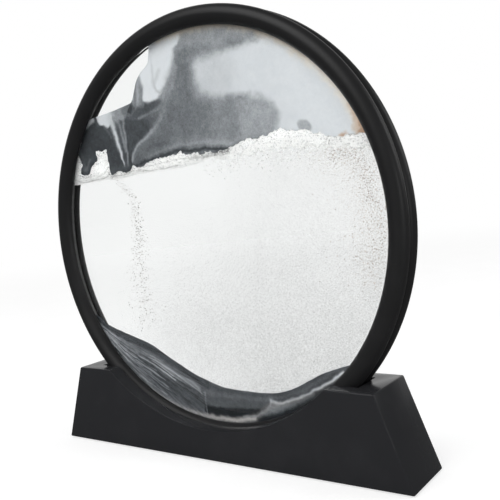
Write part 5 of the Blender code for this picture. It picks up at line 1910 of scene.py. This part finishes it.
@dataclass
class Studio:
    """Plain pale floor, soft lamps and the camera of the photograph."""

    camera_place: Colour = (0.18579, -0.23120, 0.10833)
    camera_yaw: float = 0.62394
    camera_pitch: float = -0.07947
    camera_roll: float = -0.09693
    lens: float = 51.47
    floor_half: float = 3.0
    sky_light: float = 0.42
    front_dark: float = 0.10
    aim: Colour = (0.0, 0.0, 0.09)

    def build_camera(self) -> None:
        """Camera where the photograph was taken from."""
        yaw, pitch, roll = self.camera_yaw, self.camera_pitch, self.camera_roll
        ahead = Vector((-math.sin(yaw) * math.cos(pitch), math.cos(yaw) * math.cos(pitch),
                        math.sin(pitch)))
        right = Vector((math.cos(yaw), math.sin(yaw), 0.0))
        above = right.cross(ahead)
        level = math.cos(roll) * right + math.sin(roll) * above
        upright = -math.sin(roll) * right + math.cos(roll) * above
        turn = Matrix((level, upright, -ahead)).transposed().to_4x4()
        lens = bpy.data.cameras.new("photo_camera")
        lens.lens, lens.sensor_width, lens.clip_start = self.lens, 36.0, 0.01
        camera = add_object("photo_camera", lens)
        camera.matrix_world = Matrix.Translation(self.camera_place) @ turn
        bpy.context.scene.camera = camera

    def build_floor(self) -> None:
        """The floor, which is no part of the object."""
        half = self.floor_half
        mesh = plain_mesh("floor", [(-half, -half, 0.0), (half, -half, 0.0),
                                    (half, half, 0.0), (-half, half, 0.0)], [], [(0, 1, 2, 3)])
        mesh.materials.append(PaleFloor("pale_floor").build())
        add_object("floor", mesh)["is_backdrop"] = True

    def build_world(self) -> None:
        """White backdrop behind the object, and soft even light from all round."""
        world = bpy.data.worlds.new("studio")
        world.use_nodes = True
        bpy.context.scene.world = world
        wires = Wiring(world.node_tree)
        world.node_tree.nodes.clear()
        place = wires.add("ShaderNodeTexCoord").outputs["Generated"]
        ahead = (-math.sin(self.camera_yaw), math.cos(self.camera_yaw), 0.0)
        toward = wires.add("ShaderNodeVectorMath", {0: place, 1: ahead},
                           operation="DOT_PRODUCT")
        behind = wires.spread(toward.outputs["Value"], 0.45, 0.80)
        glossy = wires.add("ShaderNodeLightPath").outputs["Is Glossy Ray"]
        share = wires.math("MAXIMUM", seen_straight(wires), wires.times(glossy, behind))
        level = wires.spread(glossy, 0.0, 1.0, self.sky_light, self.front_dark)
        level = wires.add("ShaderNodeMix", {0: share, 2: level, 3: 1.0}, data_type="FLOAT")
        sky = wires.add("ShaderNodeBackground", {"Color": WHITE, "Strength": level})
        wires.add("ShaderNodeOutputWorld", {"Surface": sky})

    def add_lamp(self, name: str, place: Colour, size: float, power: float,
                 mirrored: bool = True) -> None:
        """Soft square lamp that points at the middle of the object."""
        lamp = bpy.data.lights.new(name, "AREA")
        lamp.shape, lamp.size, lamp.energy = "SQUARE", size, power
        holder = add_object(name, lamp)
        holder.location = place
        holder.visible_glossy = mirrored
        aim = Vector(self.aim) - Vector(place)
        holder.rotation_euler = aim.to_track_quat("-Z", "Y").to_euler()

    def build(self) -> None:
        """The whole studio."""
        bpy.context.scene.view_settings.view_transform = "Standard"
        self.build_floor()
        self.build_world()
        self.add_lamp("key_lamp", (-0.35, -1.00, 1.05), 1.0, 9.9)
        self.add_lamp("front_lamp", (0.45, -1.10, 0.40), 0.8, 2.9, mirrored=False)
        self.add_lamp("side_lamp", (1.26, -0.72, 0.24), 0.3, 1.9)
        self.add_lamp("rear_lamp", (0.85, 0.45, 0.55), 0.5, 2.6)
        self.build_camera()


def write_sizes() -> None:
    """Write the box of the frame's solids and the box of what is shown."""
    boxes = {"cad": CAD_BOX, "visual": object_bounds()}
    for name, (low, high) in boxes.items():
        LOG.info("%s box %s", name, [round((b - a) * 1000, 2) for a, b in zip(low, high)])


def main() -> None:
    """Build the frame's looks, sub-assembly by sub-assembly."""
    logging.basicConfig(level=logging.INFO, format="%(message)s", stream=sys.stdout)
    RingFrame().build()
    GlassCell().build()
    picture = SandPicture()
    picture.build()
    Suspension(picture.lines).build()
    Base().build()
    Studio().build()
    write_sizes()


if __name__ == "__main__":
    main()
